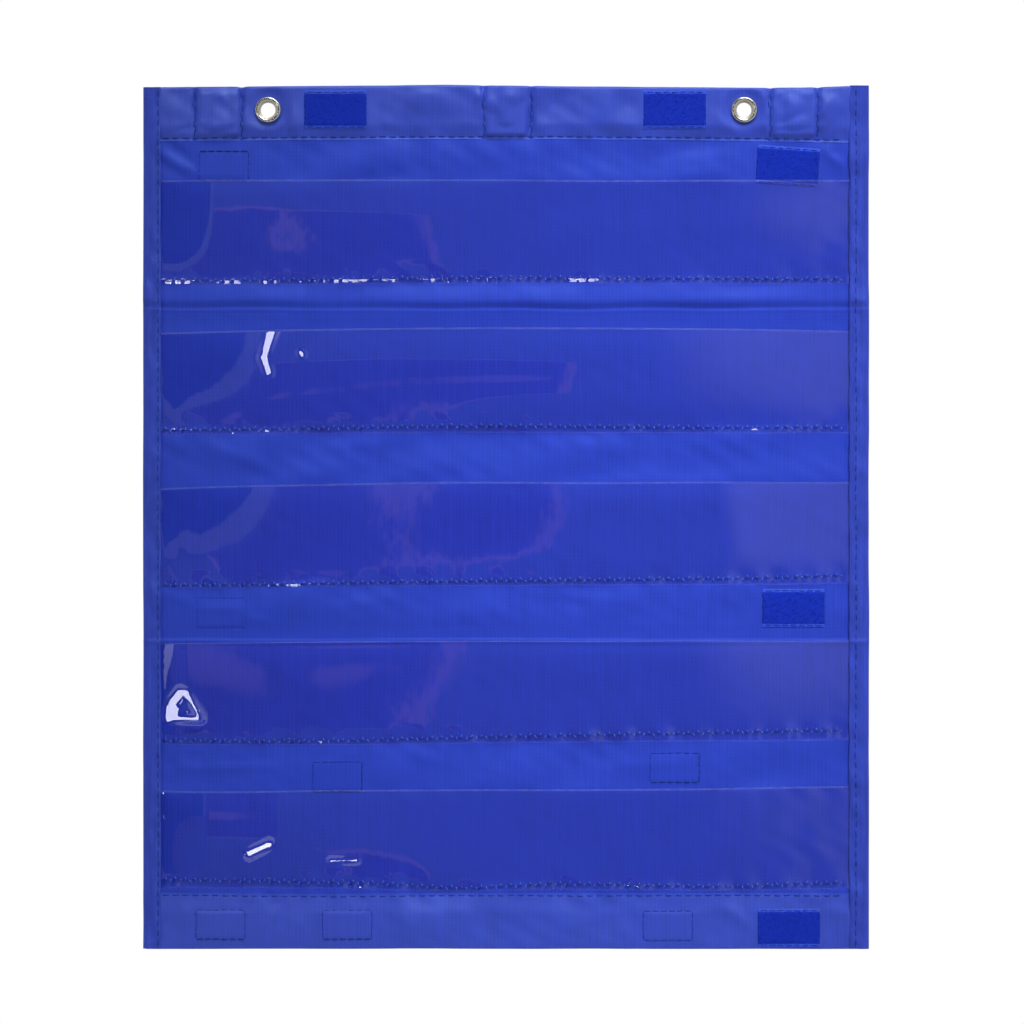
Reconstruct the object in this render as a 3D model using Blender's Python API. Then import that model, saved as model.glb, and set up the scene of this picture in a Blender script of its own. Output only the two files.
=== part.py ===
"""Wall pocket organizer: a nylon chart with five clear pockets, two grommets and hook-and-loop patches.

Lengths are in metres. X runs across the chart, -Y faces the room and Z is up. The origin lies midway
between the grommets, on the back face of the cloth. The chart hangs flat, and folds in three at its
two storage creases: the middle part swings up in front of the upper one, the lower part up behind it.
"""

import math
from collections import namedtuple

import bmesh
import bpy
from mathutils import Vector

# Driving sizes of the sewn sheets
CLOTH = 0.00035
VINYL = 0.00035
TAPE = 0.0005
SEAT_GAP = 0.0003

CHART_WIDTH = 0.305
LEFT_TAPE_WIDTH = 0.0076
RIGHT_TAPE_WIDTH = 0.0084
EDGE_EASE = 0.0008
VINYL_EDGE_INSET = 0.0015

# Driving sizes down the chart, from its top edge
TOP_MARGIN = 0.0097
HEADER_HEIGHT = 0.0219
HEM_HEIGHT = 0.0218
TURNED_EDGE = 0.0011
HEADER_TO_POCKET = 0.0173
POCKET_HEIGHT = 0.0420
POCKET_HEIGHT_SHARES = (1.0, 1.019, 0.995, 0.993, 0.967)
ROW_GAP = 0.0200
ROW_GAP_SHARES = (1.0, 1.1, 1.03)
POCKET_TO_HEM = 0.0042
VINYL_BELOW_SEAM = 0.0021

# The two storage creases
CREASE_SPLIT = 0.0003
UPPER_CREASE_SHARE = 0.6
UPPER_CREASE_DEPTH = 0.0008
UPPER_CREASE_REACH = 0.0050
LOWER_CREASE_HEIGHT = 0.0005
LOWER_CREASE_REACH = 0.0044
CREASE_TO_MOUTH = 0.0013
CREASE_ROWS = 4

# The pockets' mouths, which stand a little open and hang lower towards the sides
MOUTH_BOW = 0.0056
SIDE_RISE = 0.025
SIDE_RISE_STEPS = 5
LEVEL_STEPS = 6
POCKET_ROWS = 6
LEFT_DROP_SHARES = (0.005, 0.057, 0.069, 0.030, 0.022)
RIGHT_DROP_SHARES = (0.0, 0.034, 0.0, 0.0, -0.033)

# The header and the hem, each a cloth folded over itself
FOLD_LOFT = 0.0009
FOLD_STEPS = 6
LOFT_RISE = 0.0020
EDGE_RAMP = 0.0040
MAGNET_WIDTH = 0.0150
MAGNET_HEIGHT = 0.0155
MAGNET_THICKNESS = 0.0015
MAGNET_CORNER = 0.0005
SLEEVE_EASE = 0.0024
STITCH_DIP = 0.0006
SLEEVE_TO_TAPE = 0.01335

# The grommets
BORE_RADIUS = 0.0035
BARREL_WALL = 0.00035
FLANGE_RADIUS = 0.00555
FLANGE_HEIGHT = 0.0012
WASHER_THICKNESS = 0.0005
ROLL_RADIUS = 0.0050
ROLL_HEIGHT = 0.0006
CLAMPED_LOFT = 0.0005
CLAMP_EASE = 0.0010
CLAMP_RAMP = 0.0020
SLEEVE_TO_CLAMP = 0.0044
ROUND_STEPS = 24
CUT_OVERRUN = 0.002
SHARP_ANGLE = math.radians(50)

# The hook-and-loop patches, 16 mm tape cut to length
PATCH_LENGTH = 0.0260
PATCH_HEIGHT = 0.0160
PATCH_BASE = 0.0006
LOOP_PILE = 0.0011
HOOK_PILE = 0.0010
SELVAGE = 0.0013
PILE_SLOPE = 0.0003
GROMMET_TO_COLUMN = 0.0292
COLUMN_TO_EDGE = 0.0330
TOP_PATCH_DROP = 0.0116
TOP_PATCH_TILT = math.radians(3)
LOWER_PATCH_DROP = 0.0135
SEWING_DRIFT = 0.0019
PATCH_MARGIN = 0.0008
RELIEF_MARGIN = 0.0002

# Heights that follow from the driving sizes
top = TOP_MARGIN
header_seam = top - HEADER_HEIGHT
patch_row_gap = VINYL_BELOW_SEAM + PATCH_MARGIN + PATCH_HEIGHT + RELIEF_MARGIN + LOWER_CREASE_REACH
patch_row_gap += CREASE_TO_MOUTH
row_gaps = [ROW_GAP * share for share in ROW_GAP_SHARES]
row_gaps.insert(2, patch_row_gap)
row_gaps.append(POCKET_TO_HEM)
mouths = []
seams = []
next_height = header_seam - HEADER_TO_POCKET
for height_share, row_gap in zip(POCKET_HEIGHT_SHARES, row_gaps):
    mouths.append(next_height)
    seams.append(next_height - POCKET_HEIGHT * height_share)
    next_height = seams[-1] - row_gap
hem_seam = next_height
bottom = hem_seam - HEM_HEIGHT
upper_crease = seams[0] - row_gaps[0] * UPPER_CREASE_SHARE
lower_crease = mouths[3] + CREASE_TO_MOUTH
top_patch_height = header_seam - TOP_PATCH_DROP
middle_patch_foot = lower_crease + LOWER_CREASE_REACH
lower_patch_height = seams[3] - LOWER_PATCH_DROP
hem_patch_height = (hem_seam + bottom) / 2 - SEWING_DRIFT

# Places across the chart
half_width = CHART_WIDTH / 2
cloth_edge = half_width - TAPE - EDGE_EASE
vinyl_edge = cloth_edge - VINYL_EDGE_INSET
left_tape_edge = LEFT_TAPE_WIDTH - half_width
right_tape_edge = half_width - RIGHT_TAPE_WIDTH
sleeve_width = MAGNET_WIDTH + 2 * SLEEVE_EASE
outer_sleeve = right_tape_edge - SLEEVE_TO_TAPE - sleeve_width / 2
sleeve_places = (-outer_sleeve, 0, outer_sleeve)
clamp_reach = FLANGE_RADIUS + CLAMP_EASE
grommet = outer_sleeve - sleeve_width / 2 - SLEEVE_TO_CLAMP - clamp_reach
grommet_places = (-grommet, grommet)
inner_column = grommet - GROMMET_TO_COLUMN
outer_column = half_width - COLUMN_TO_EDGE

# Depths of the layers, from the cloth's back face towards the room
cloth_front = -CLOTH
vinyl_back = cloth_front - SEAT_GAP
tape_inside = vinyl_back - VINYL - SEAT_GAP
tape_front = tape_inside - TAPE
tape_back = SEAT_GAP + TAPE
fold_front = -2 * CLOTH - FOLD_LOFT
clamped_front = -2 * CLOTH - CLAMPED_LOFT
magnet_loft = MAGNET_THICKNESS + 2 * SEAT_GAP
hook_back = SEAT_GAP + PATCH_BASE + HOOK_PILE

# The hinge lines lie at the layers that meet when the chart is folded
fold_1_line = Vector((0, tape_front - SEAT_GAP / 2, upper_crease))
fold_2_line = Vector((0, (hook_back + SEAT_GAP) / 2, lower_crease))

Body = namedtuple("Body", "empty place")


def clear_scene():
    for old in list(bpy.data.objects):
        bpy.data.objects.remove(old)


def make_material(name, colour, roughness, metallic=0.0, alpha=1.0):
    material = bpy.data.materials.new(name)
    material.use_nodes = True
    shader = material.node_tree.nodes["Principled BSDF"]
    shader.inputs["Base Color"].default_value = (*colour, 1.0)
    shader.inputs["Roughness"].default_value = roughness
    shader.inputs["Metallic"].default_value = metallic
    shader.inputs["Alpha"].default_value = alpha
    return material


def make_body(name, place, parent=None):
    """An empty on the body's hinge line, which carries the body's pieces and the next body."""
    empty = bpy.data.objects.new(name, None)
    bpy.context.collection.objects.link(empty)
    empty.location = place
    if parent:
        empty.parent = parent.empty
        empty.location = place - parent.place
    return Body(empty, place)


def add_piece(name, form, material, body, place=(0, 0, 0)):
    """Turns a bmesh into one named object on its body, at a place in the chart's own frame."""
    mesh = bpy.data.meshes.new(name)
    form.to_mesh(mesh)
    form.free()
    mesh.materials.append(material)
    piece = bpy.data.objects.new(name, mesh)
    bpy.context.collection.objects.link(piece)
    piece.parent = body.empty
    piece.location = Vector(place) - body.place
    return piece


def add_sheet(name, columns, thickness, material, body):
    """A sheet from columns of points on its outer face, thickened inwards."""
    form = bmesh.new()
    grid = [[form.verts.new(point) for point in column] for column in columns]
    for first, second in zip(grid, grid[1:]):
        for low in range(len(first) - 1):
            form.faces.new((first[low], first[low + 1], second[low + 1], second[low]))
    piece = add_piece(name, form, material, body)
    piece.data.shade_smooth()
    solid = piece.modifiers.new("Thickness", "SOLIDIFY")
    solid.thickness = thickness
    solid.offset = -1
    solid.use_even_offset = True
    return piece


def relief(height):
    """How far the cloth stands back from its plane at the upper crease, or forward (negative) at the lower."""
    upper = min(abs(height - upper_crease) / UPPER_CREASE_REACH, 1)
    lower = min(abs(height - lower_crease) / LOWER_CREASE_REACH, 1)
    back = UPPER_CREASE_DEPTH * math.cos(math.pi / 2 * upper) ** 2
    forward = LOWER_CREASE_HEIGHT * math.cos(math.pi / 2 * lower) ** 2
    return back - forward


def rows_between(low, high):
    """Heights of a sheet's rows: both ends, and close steps beside each crease."""
    rows = {low, high}
    for crease, reach in ((upper_crease, UPPER_CREASE_REACH), (lower_crease, LOWER_CREASE_REACH)):
        for step in range(-CREASE_ROWS, CREASE_ROWS + 1):
            row = crease + reach * step / CREASE_ROWS
            if step and low < row < high:
                rows.add(row)
    return sorted(rows)


def folded_profile(rows, edge, seam, turn, loft):
    """Outer face, in Y and Z, of a cloth that runs up its rows and folds forward over itself at one edge.

    turn is 1 where that edge is the top and -1 where it is the bottom. loft is the space between the
    two leaves, which close to a seat gap at the seam.
    """
    bend = (loft + 2 * CLOTH) / 2
    centre = edge - turn * bend
    profile = [(relief(row), row) for row in rows]
    if turn < 0:
        profile.reverse()
    for step in range(FOLD_STEPS + 1):
        angle = math.pi * step / FOLD_STEPS
        profile.append((bend * math.cos(angle) - bend, centre + turn * bend * math.sin(angle)))
    closed_front = -2 * CLOTH - SEAT_GAP
    profile.append((-2 * bend, seam + turn * LOFT_RISE))
    profile.append((closed_front, seam))
    profile.append((closed_front, seam - turn * TURNED_EDGE))
    if turn < 0:
        profile.reverse()
    return profile


def edge_stations():
    """Stations where a folded cloth rises from the flat stretch under each side tape."""
    return [
        (-cloth_edge, SEAT_GAP, 0),
        (left_tape_edge, SEAT_GAP, 0),
        (left_tape_edge + EDGE_RAMP, FOLD_LOFT, 0),
        (right_tape_edge - EDGE_RAMP, FOLD_LOFT, 0),
        (right_tape_edge, SEAT_GAP, 0),
        (cloth_edge, SEAT_GAP, 0),
    ]


def header_stations():
    """Stations across the header: its place, the loft between its leaves and the dip of its top edge."""
    stations = edge_stations()
    for place in sleeve_places:
        for side in (-1, 1):
            stitch = place + side * sleeve_width / 2
            magnet_side = place + side * (MAGNET_WIDTH / 2 + SEAT_GAP)
            stations.append((magnet_side, magnet_loft, 0))
            stations.append((stitch, SEAT_GAP, STITCH_DIP))
            stations.append((stitch + side * SLEEVE_EASE, FOLD_LOFT, 0))
    for place in grommet_places:
        for side in (-1, 1):
            stations.append((place + side * clamp_reach, CLAMPED_LOFT, 0))
            if place * side < 0:
                stations.append((place + side * (clamp_reach + CLAMP_RAMP), FOLD_LOFT, 0))
    return sorted(stations)


def make_upper_cloth(material, body):
    """The upper third of the cloth, with the folded header and the grommets' holes through its two leaves."""
    rows = rows_between(upper_crease + CREASE_SPLIT / 2, header_seam)
    columns = []
    for x, loft, dip in header_stations():
        profile = folded_profile(rows, top - dip, header_seam, 1, loft)
        columns.append([(x, y, z) for y, z in profile])
    piece = add_sheet("upper_cloth", columns, CLOTH, material, body)
    for number, place in enumerate(grommet_places):
        add_hole(piece, f"grommet_cutter_{number + 1}", place, body)


def add_hole(piece, name, place, body):
    radius = BORE_RADIUS + BARREL_WALL + SEAT_GAP
    form = bmesh.new()
    bmesh.ops.create_cone(
        form,
        cap_ends=True,
        segments=ROUND_STEPS,
        radius1=radius,
        radius2=radius,
        depth=2 * (CUT_OVERRUN - clamped_front),
    )
    cutter = add_piece(name, form, piece.data.materials[0], body, (place, 0, 0))
    cutter.rotation_euler.x = math.pi / 2
    cutter.hide_render = True
    cutter.display_type = "WIRE"
    cut = piece.modifiers.new("Grommet hole", "BOOLEAN")
    cut.operation = "DIFFERENCE"
    cut.object = cutter


def make_middle_cloth(material, body):
    rows = rows_between(lower_crease + CREASE_SPLIT / 2, upper_crease - CREASE_SPLIT / 2)
    columns = [[(x, relief(row), row) for row in rows] for x in (-cloth_edge, cloth_edge)]
    add_sheet("middle_cloth", columns, CLOTH, material, body)


def make_lower_cloth(material, body):
    """The lower third of the cloth, with the hem folded up in front of it."""
    rows = rows_between(hem_seam, lower_crease - CREASE_SPLIT / 2)
    columns = []
    for x, loft, dip in edge_stations():
        profile = folded_profile(rows, bottom + dip, hem_seam, -1, loft)
        columns.append([(x, y, z) for y, z in profile])
    add_sheet("lower_cloth", columns, CLOTH, material, body)


def tape_profile(inner_edge, side):
    """Outer face of a side tape in X and Y, from its back leg round the fold to its front leg."""
    middle = (tape_front + tape_back) / 2
    bend = (tape_back - tape_front) / 2
    centre = side * (half_width - bend)
    profile = [(inner_edge, tape_back)]
    for step in range(FOLD_STEPS + 1):
        angle = math.pi * step / FOLD_STEPS
        profile.append((centre + side * bend * math.sin(angle), middle + bend * math.cos(angle)))
    profile.append((inner_edge, tape_front))
    return profile if side < 0 else profile[::-1]


def make_tapes(part, low, high, material, body):
    """Both side tapes of one part of the chart, folded round the cloth's edges and the vinyl's ends."""
    for name, inner_edge, side in (("left", left_tape_edge, -1), ("right", right_tape_edge, 1)):
        profile = tape_profile(inner_edge, side)
        columns = [[(x, y + relief(row), row) for x, y in profile] for row in rows_between(low, high)]
        add_sheet(f"{name}_tape_{part}", columns, TAPE, material, body)


def pocket_stations():
    """Places across a pocket: its sewn ends, the rise beside each side seam, and the level stretch."""
    left = left_tape_edge + SEAT_GAP
    right = right_tape_edge - SEAT_GAP
    places = [-vinyl_edge, vinyl_edge]
    for step in range(SIDE_RISE_STEPS + 1):
        places.append(left + SIDE_RISE * step / SIDE_RISE_STEPS)
        places.append(right - SIDE_RISE * step / SIDE_RISE_STEPS)
    level = right - left - 2 * SIDE_RISE
    for step in range(1, LEVEL_STEPS):
        places.append(left + SIDE_RISE + level * step / LEVEL_STEPS)
    return sorted(places)


def mouth_bow(x):
    """How far the mouth stands open at x: not at all at the side seams, fully in the level stretch."""
    room = min(x - left_tape_edge - SEAT_GAP, right_tape_edge - SEAT_GAP - x)
    share = min(max(room / SIDE_RISE, 0), 1)
    return MOUTH_BOW * math.sin(math.pi / 2 * share)


def mouth_drop(x, number):
    shares = LEFT_DROP_SHARES if x < 0 else RIGHT_DROP_SHARES
    return POCKET_HEIGHT * shares[number] * (x / half_width) ** 2


def pocket_shares(number):
    """Shares of the pocket's height at which its rows lie, close together where it crosses a crease."""
    height = mouths[number] - seams[number]
    shares = {step / POCKET_ROWS for step in range(POCKET_ROWS + 1)}
    rows = rows_between(seams[number], mouths[number])
    shares.update((row - seams[number]) / height for row in rows)
    return sorted(shares)


def make_pocket(number, material, body):
    """One clear strip, sewn along its bottom and both ends, that bows out towards its mouth."""
    columns = []
    for x in pocket_stations():
        seam = seams[number]
        mouth = mouths[number] - mouth_drop(x, number)
        column = [(x, vinyl_back, seam - VINYL_BELOW_SEAM)]
        for share in pocket_shares(number):
            height = seam + (mouth - seam) * share
            bow = mouth_bow(x) * math.sin(math.pi / 2 * share)
            column.append((x, vinyl_back + relief(height) - bow, height))
        columns.append(column)
    add_sheet(f"pocket_{number + 1}", columns, VINYL, material, body)


def make_magnets(material, body):
    """Flat magnets, each resting on the bottom of its sleeve between the header's two leaves."""
    height = header_seam + LOFT_RISE + SEAT_GAP + MAGNET_HEIGHT / 2
    depth = cloth_front - SEAT_GAP - MAGNET_THICKNESS / 2
    for name, place in zip(("left", "middle", "right"), sleeve_places):
        form = bmesh.new()
        bmesh.ops.create_cube(form, size=1)
        bmesh.ops.scale(form, vec=(MAGNET_WIDTH, MAGNET_THICKNESS, MAGNET_HEIGHT), verts=form.verts)
        magnet = add_piece(f"magnet_{name}", form, material, body, (place, depth, height))
        rounding = magnet.modifiers.new("Rounded edges", "BEVEL")
        rounding.width = MAGNET_CORNER
        rounding.segments = 2


def turned_piece(name, profile, material, body, place):
    """A closed outline of radius and depth, turned round a line along Y."""
    form = bmesh.new()
    corners = [form.verts.new((radius, depth, 0)) for radius, depth in profile]
    edges = [form.edges.new(pair) for pair in zip(corners, corners[1:] + corners[:1])]
    bmesh.ops.spin(
        form,
        geom=corners + edges,
        cent=(0, 0, 0),
        axis=(0, 1, 0),
        angle=2 * math.pi,
        steps=ROUND_STEPS,
        use_merge=True,
    )
    bmesh.ops.recalc_face_normals(form, faces=form.faces)
    piece = add_piece(name, form, material, body, place)
    piece.data.shade_smooth()
    piece.data.set_sharp_from_angle(angle=SHARP_ANGLE)


def eyelet_profile():
    """Barrel with a domed flange in front of the header and an end rolled over the washer behind it."""
    barrel = BORE_RADIUS + BARREL_WALL
    seat = clamped_front - SEAT_GAP
    roll_seat = SEAT_GAP + WASHER_THICKNESS + SEAT_GAP
    flange_shares = ((0.0, 0.25), (0.12, 0.7), (0.38, 1.0), (0.7, 0.92), (0.93, 0.55), (1.0, 0.0))
    roll_shares = ((1.0, 0.0), (0.9, 0.6), (0.6, 1.0), (0.25, 0.9), (0.0, 0.4))
    profile = []
    for across, out in flange_shares:
        radius = BORE_RADIUS + (FLANGE_RADIUS - BORE_RADIUS) * across
        profile.append((radius, seat - FLANGE_HEIGHT * out))
    profile.append((barrel, seat))
    profile.append((barrel, roll_seat))
    for across, out in roll_shares:
        radius = BORE_RADIUS + (ROLL_RADIUS - BORE_RADIUS) * across
        profile.append((radius, roll_seat + ROLL_HEIGHT * out))
    return profile


def washer_profile():
    """Flat ring with its outer rim turned down towards the cloth."""
    inner = BORE_RADIUS + BARREL_WALL + SEAT_GAP
    rim = FLANGE_RADIUS - WASHER_THICKNESS
    back = SEAT_GAP + WASHER_THICKNESS
    return [(inner, SEAT_GAP), (FLANGE_RADIUS, SEAT_GAP), (rim, back), (inner, back)]


def make_grommets(material, body):
    for name, place in zip(("left", "right"), grommet_places):
        turned_piece(f"eyelet_{name}", eyelet_profile(), material, body, (place, 0, 0))
        turned_piece(f"washer_{name}", washer_profile(), material, body, (place, 0, 0))


def make_patch(name, side, pile, seat, place, tilt, material, body):
    """A cut of hook or loop tape: a thin base with bare selvages above and below its pile.

    side is -1 on the front of the chart and 1 on its back, and seat is the face that carries it.
    """
    low = PATCH_HEIGHT / 2
    pile_foot = low - SELVAGE
    pile_crown = pile_foot - PILE_SLOPE
    outline = [(low, 0), (low, PATCH_BASE), (pile_foot, PATCH_BASE), (pile_crown, PATCH_BASE + pile)]
    outline += [(-height, depth) for height, depth in reversed(outline)]
    form = bmesh.new()
    corners = [form.verts.new((-PATCH_LENGTH / 2, side * depth, height)) for height, depth in outline]
    end = form.faces.new(corners)
    grown = bmesh.ops.extrude_face_region(form, geom=[end])
    moved = [item for item in grown["geom"] if isinstance(item, bmesh.types.BMVert)]
    bmesh.ops.translate(form, vec=(PATCH_LENGTH, 0, 0), verts=moved)
    bmesh.ops.recalc_face_normals(form, faces=form.faces)
    x, z = place
    piece = add_piece(name, form, material, body, (x, seat + side * SEAT_GAP, z))
    piece.rotation_euler.y = tilt


def make_loop_patches(material, upper, middle, lower):
    """Loop patches on the front, where the next chart's back patches press on."""
    middle_height = middle_patch_foot + RELIEF_MARGIN + PATCH_HEIGHT / 2
    rows = (
        ("header_left", fold_front, (-inner_column, 0), 0, upper),
        ("header_right", fold_front, (inner_column, 0), 0, upper),
        ("top", cloth_front, (outer_column, top_patch_height), TOP_PATCH_TILT, upper),
        ("middle", cloth_front, (outer_column, middle_height), 0, middle),
        ("hem", fold_front, (outer_column, hem_patch_height), 0, lower),
    )
    for name, seat, place, tilt, body in rows:
        make_patch(f"loop_patch_{name}", -1, LOOP_PILE, seat, place, tilt, material, body)


def make_hook_patches(material, upper, middle, lower):
    """Hook patches on the back, whose sewn outlines show through on the front."""
    top_height = top_patch_height + SEWING_DRIFT / 2
    middle_height = middle_patch_foot + PATCH_HEIGHT / 2 - SEWING_DRIFT
    rows = (
        ("top", (-outer_column, top_height), upper),
        ("middle", (-outer_column, middle_height), middle),
        ("lower_left", (-inner_column, lower_patch_height - SEWING_DRIFT), lower),
        ("lower_right", (inner_column, lower_patch_height + SEWING_DRIFT), lower),
        ("hem_outer", (-outer_column, hem_patch_height), lower),
        ("hem_left", (-inner_column, hem_patch_height), lower),
        ("hem_right", (inner_column, hem_patch_height), lower),
    )
    for name, place, body in rows:
        make_patch(f"hook_patch_{name}", 1, HOOK_PILE, 0, place, 0, material, body)


def main():
    clear_scene()
    nylon = make_material("nylon", (0.030, 0.065, 0.58), 0.55)
    edging = make_material("edging", (0.035, 0.075, 0.52), 0.6)
    clear_vinyl = make_material("clear_vinyl", (0.75, 0.80, 0.95), 0.08, alpha=0.25)
    loop = make_material("loop_pile", (0.012, 0.035, 0.42), 0.95)
    hook = make_material("hook_pile", (0.014, 0.038, 0.40), 0.6)
    nickel = make_material("nickel", (0.72, 0.69, 0.62), 0.22, metallic=1.0)
    ferrite = make_material("ferrite", (0.06, 0.06, 0.06), 0.7)

    upper = make_body("upper_body", Vector((0, 0, 0)))
    middle = make_body("fold_1_axis", fold_1_line, upper)
    lower = make_body("fold_2_axis", fold_2_line, middle)

    make_upper_cloth(nylon, upper)
    make_middle_cloth(nylon, middle)
    make_lower_cloth(nylon, lower)
    make_tapes("upper", upper_crease + CREASE_SPLIT / 2, top, edging, upper)
    make_tapes("middle", lower_crease + CREASE_SPLIT / 2, upper_crease - CREASE_SPLIT / 2, edging, middle)
    make_tapes("lower", bottom, lower_crease - CREASE_SPLIT / 2, edging, lower)
    for number, body in enumerate((upper, middle, middle, lower, lower)):
        make_pocket(number, clear_vinyl, body)
    make_magnets(ferrite, upper)
    make_grommets(nickel, upper)
    make_loop_patches(loop, upper, middle, lower)
    make_hook_patches(hook, upper, middle, lower)


main()
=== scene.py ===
# %% [markdown]
# # A wall pocket chart, dressed around its CAD frame
#
# The real object is a sheet of blue ripstop nylon. Its top is folded over into a header with two
# grommets, its bottom into a hem, and five clear vinyl strips are sewn across it as pockets. The
# CAD model already says where each piece is. This script keeps that frame fixed and builds the
# soft pieces again with their waves, puckers, stitches and weave.

import math
from functools import partial

import bpy
import numpy as np
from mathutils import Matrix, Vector


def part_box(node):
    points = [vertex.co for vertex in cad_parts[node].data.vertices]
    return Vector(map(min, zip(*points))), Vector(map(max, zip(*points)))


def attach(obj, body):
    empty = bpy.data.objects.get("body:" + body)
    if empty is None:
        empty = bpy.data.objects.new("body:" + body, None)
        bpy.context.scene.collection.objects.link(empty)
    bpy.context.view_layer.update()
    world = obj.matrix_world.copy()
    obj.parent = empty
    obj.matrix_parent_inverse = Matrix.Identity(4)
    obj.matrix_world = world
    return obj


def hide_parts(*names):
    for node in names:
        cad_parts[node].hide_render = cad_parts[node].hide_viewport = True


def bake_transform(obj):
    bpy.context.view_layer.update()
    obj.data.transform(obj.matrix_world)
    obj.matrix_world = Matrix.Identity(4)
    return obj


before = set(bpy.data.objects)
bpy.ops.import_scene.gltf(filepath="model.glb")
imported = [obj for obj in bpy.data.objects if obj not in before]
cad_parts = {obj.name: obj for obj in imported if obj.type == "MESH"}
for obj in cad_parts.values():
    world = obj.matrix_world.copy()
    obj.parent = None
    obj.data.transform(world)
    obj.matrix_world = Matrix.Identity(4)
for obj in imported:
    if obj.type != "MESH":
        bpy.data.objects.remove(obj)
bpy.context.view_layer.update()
MM = 0.001

# %% [markdown]
# ## The camera
#
# The photograph looks straight at the chart from far away, so its edges stay parallel. A long lens
# at a long distance gives the same picture. The width of the view follows from the chart: 305 mm
# of it take 726 of the 1024 pixels.

# %% Set the camera
FRAME_WIDTH = 430.2 * MM
CAMERA_DISTANCE = 1900 * MM
CAMERA_PLACE = (2.5 * MM, -CAMERA_DISTANCE, -168.9 * MM)
SENSOR = 36.0
CLIP_END = 30.0
# The lamps that the vinyl mirrors are placed here too, because its buckles are aimed at them.
KEY_PLACE = (0.32, -1.20, 1.45)
GLINT_PLACE = (-1.70, -1.62, -0.20)
GLINT_SIZE = 0.34
LOW_GLINT_PLACE = (-0.45, -1.60, 0.45)
LOW_GLINT_SIZE = 0.12

camera_data = bpy.data.cameras.new("camera")
camera_data.sensor_width = SENSOR
camera_data.lens = SENSOR * CAMERA_DISTANCE / FRAME_WIDTH
camera_data.clip_end = CLIP_END
camera = bpy.data.objects.new("camera", camera_data)
camera.location = CAMERA_PLACE
camera.rotation_euler = (math.pi / 2, 0, 0)
bpy.context.scene.collection.objects.link(camera)
bpy.context.scene.camera = camera
bpy.context.scene.view_settings.view_transform = "Standard"
print("lens", round(camera_data.lens, 1), "mm")

# %% [markdown]
# ## The chart's measures
#
# Heights run down from the grommets' line at zero. Each seam is a slightly uneven line, because
# cloth creeps under a sewing machine's foot, so the seams are functions of the place across.

# %% Name the places of seams, mouths and creases
CLOTH = 0.35 * MM
SEAT = 0.3 * MM
VINYL = 0.35 * MM
TAPE = 0.5 * MM
half_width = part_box("left_tape_upper")[0].x * -1
cloth_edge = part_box("middle_cloth")[1].x
vinyl_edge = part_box("pocket_1")[1].x
left_tape_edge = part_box("left_tape_upper")[1].x
right_tape_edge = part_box("right_tape_upper")[0].x
chart_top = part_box("left_tape_upper")[1].z
chart_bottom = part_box("left_tape_lower")[0].z
upper_crease = (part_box("upper_cloth")[0].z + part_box("middle_cloth")[1].z) / 2
lower_crease = (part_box("middle_cloth")[0].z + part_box("lower_cloth")[1].z) / 2
VINYL_BELOW_SEAM = 2.1 * MM
MOUTHS = (-29.5 * MM, -91.5 * MM, -156.3 * MM, -222.9 * MM, -285.2 * MM)
seams = [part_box(f"pocket_{n + 1}")[0].z + VINYL_BELOW_SEAM for n in range(5)]
HEADER_SEAM = -11.9 * MM
HEM_SEAM = -330.0 * MM
TURNED_EDGE = 1.1 * MM
GROMMETS = (-100 * MM, 100 * MM)
MAGNET_HALF = 7.5 * MM
outer_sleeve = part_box("magnet_right")[0].x + MAGNET_HALF
SLEEVES = (-outer_sleeve, 0.6 * MM, outer_sleeve)
SLEEVE_HALF = 9.9 * MM
print("creases at", round(upper_crease / MM, 2), round(lower_crease / MM, 2), "mm")
print("seams at", [round(s / MM, 1) for s in seams], "mm")


# %% Helpers for smooth shapes
WAVES = 8
WAVE_SUM = 3.5


def smooth(low, high, value):
    """0 below low, 1 above high and an even S-curve between them."""
    share = np.clip((value - low) / (high - low), 0, 1)
    return share * share * (3 - 2 * share)


def hill(value, width):
    """A bell of height 1 at zero."""
    return np.exp(-((value / width) ** 2))


def uneven(x, z, pitch, seed, stretch=1.0):
    """Slow waves without a visible repeat, mostly between -1 and 1, the same at each run.

    Each thing that waves has a seed of its own, so that no two wave alike.
    """
    draw = np.random.default_rng(seed)
    turns = draw.uniform(0, math.tau, WAVES)
    starts = draw.uniform(0, math.tau, WAVES)
    counts = draw.uniform(0.6, 1.5, WAVES)
    total = 0.0
    for turn, start, count in zip(turns, starts, counts):
        along = x * math.cos(turn) + z * math.sin(turn) * stretch
        total = total + np.sin(along * math.tau * count / pitch + start)
    return total / WAVE_SUM


# %% [markdown]
# ## How the cloth lies
#
# One function gives the depth of the cloth's back face at every place. All layers read it: the
# cloth itself, the tapes over its edges, the vinyl and the threads. They therefore wave together
# and never pass through each other. The waves have four causes on the real chart: the two storage
# creases, slow swells of the hanging cloth, gathers beside each seam, and stiff patches that
# press their outline into the cloth.

# %% Place the patches
PATCH_LENGTH = 26 * MM
PATCH_HEIGHT = 16 * MM
# How far each patch is sewn from its regular place, across and up.
PATCH_SHIFTS = {
    "loop_patch_top": (-1.2 * MM, 0.3 * MM),
    "loop_patch_header_left": (-0.8 * MM, 0.0),
    "loop_patch_middle": (1.2 * MM, -0.2 * MM),
    "loop_patch_hem": (-0.8 * MM, -0.6 * MM),
    "hook_patch_hem_right": (-1.5 * MM, 0.0),
    "hook_patch_hem_left": (2.5 * MM, 0.3 * MM),
}


def patch_place(node):
    """Middle of a patch, across and up."""
    low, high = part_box(node)
    shift = PATCH_SHIFTS.get(node, (0.0, 0.0))
    return (low.x + high.x) / 2 + shift[0], (low.z + high.z) / 2 + shift[1]


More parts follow.
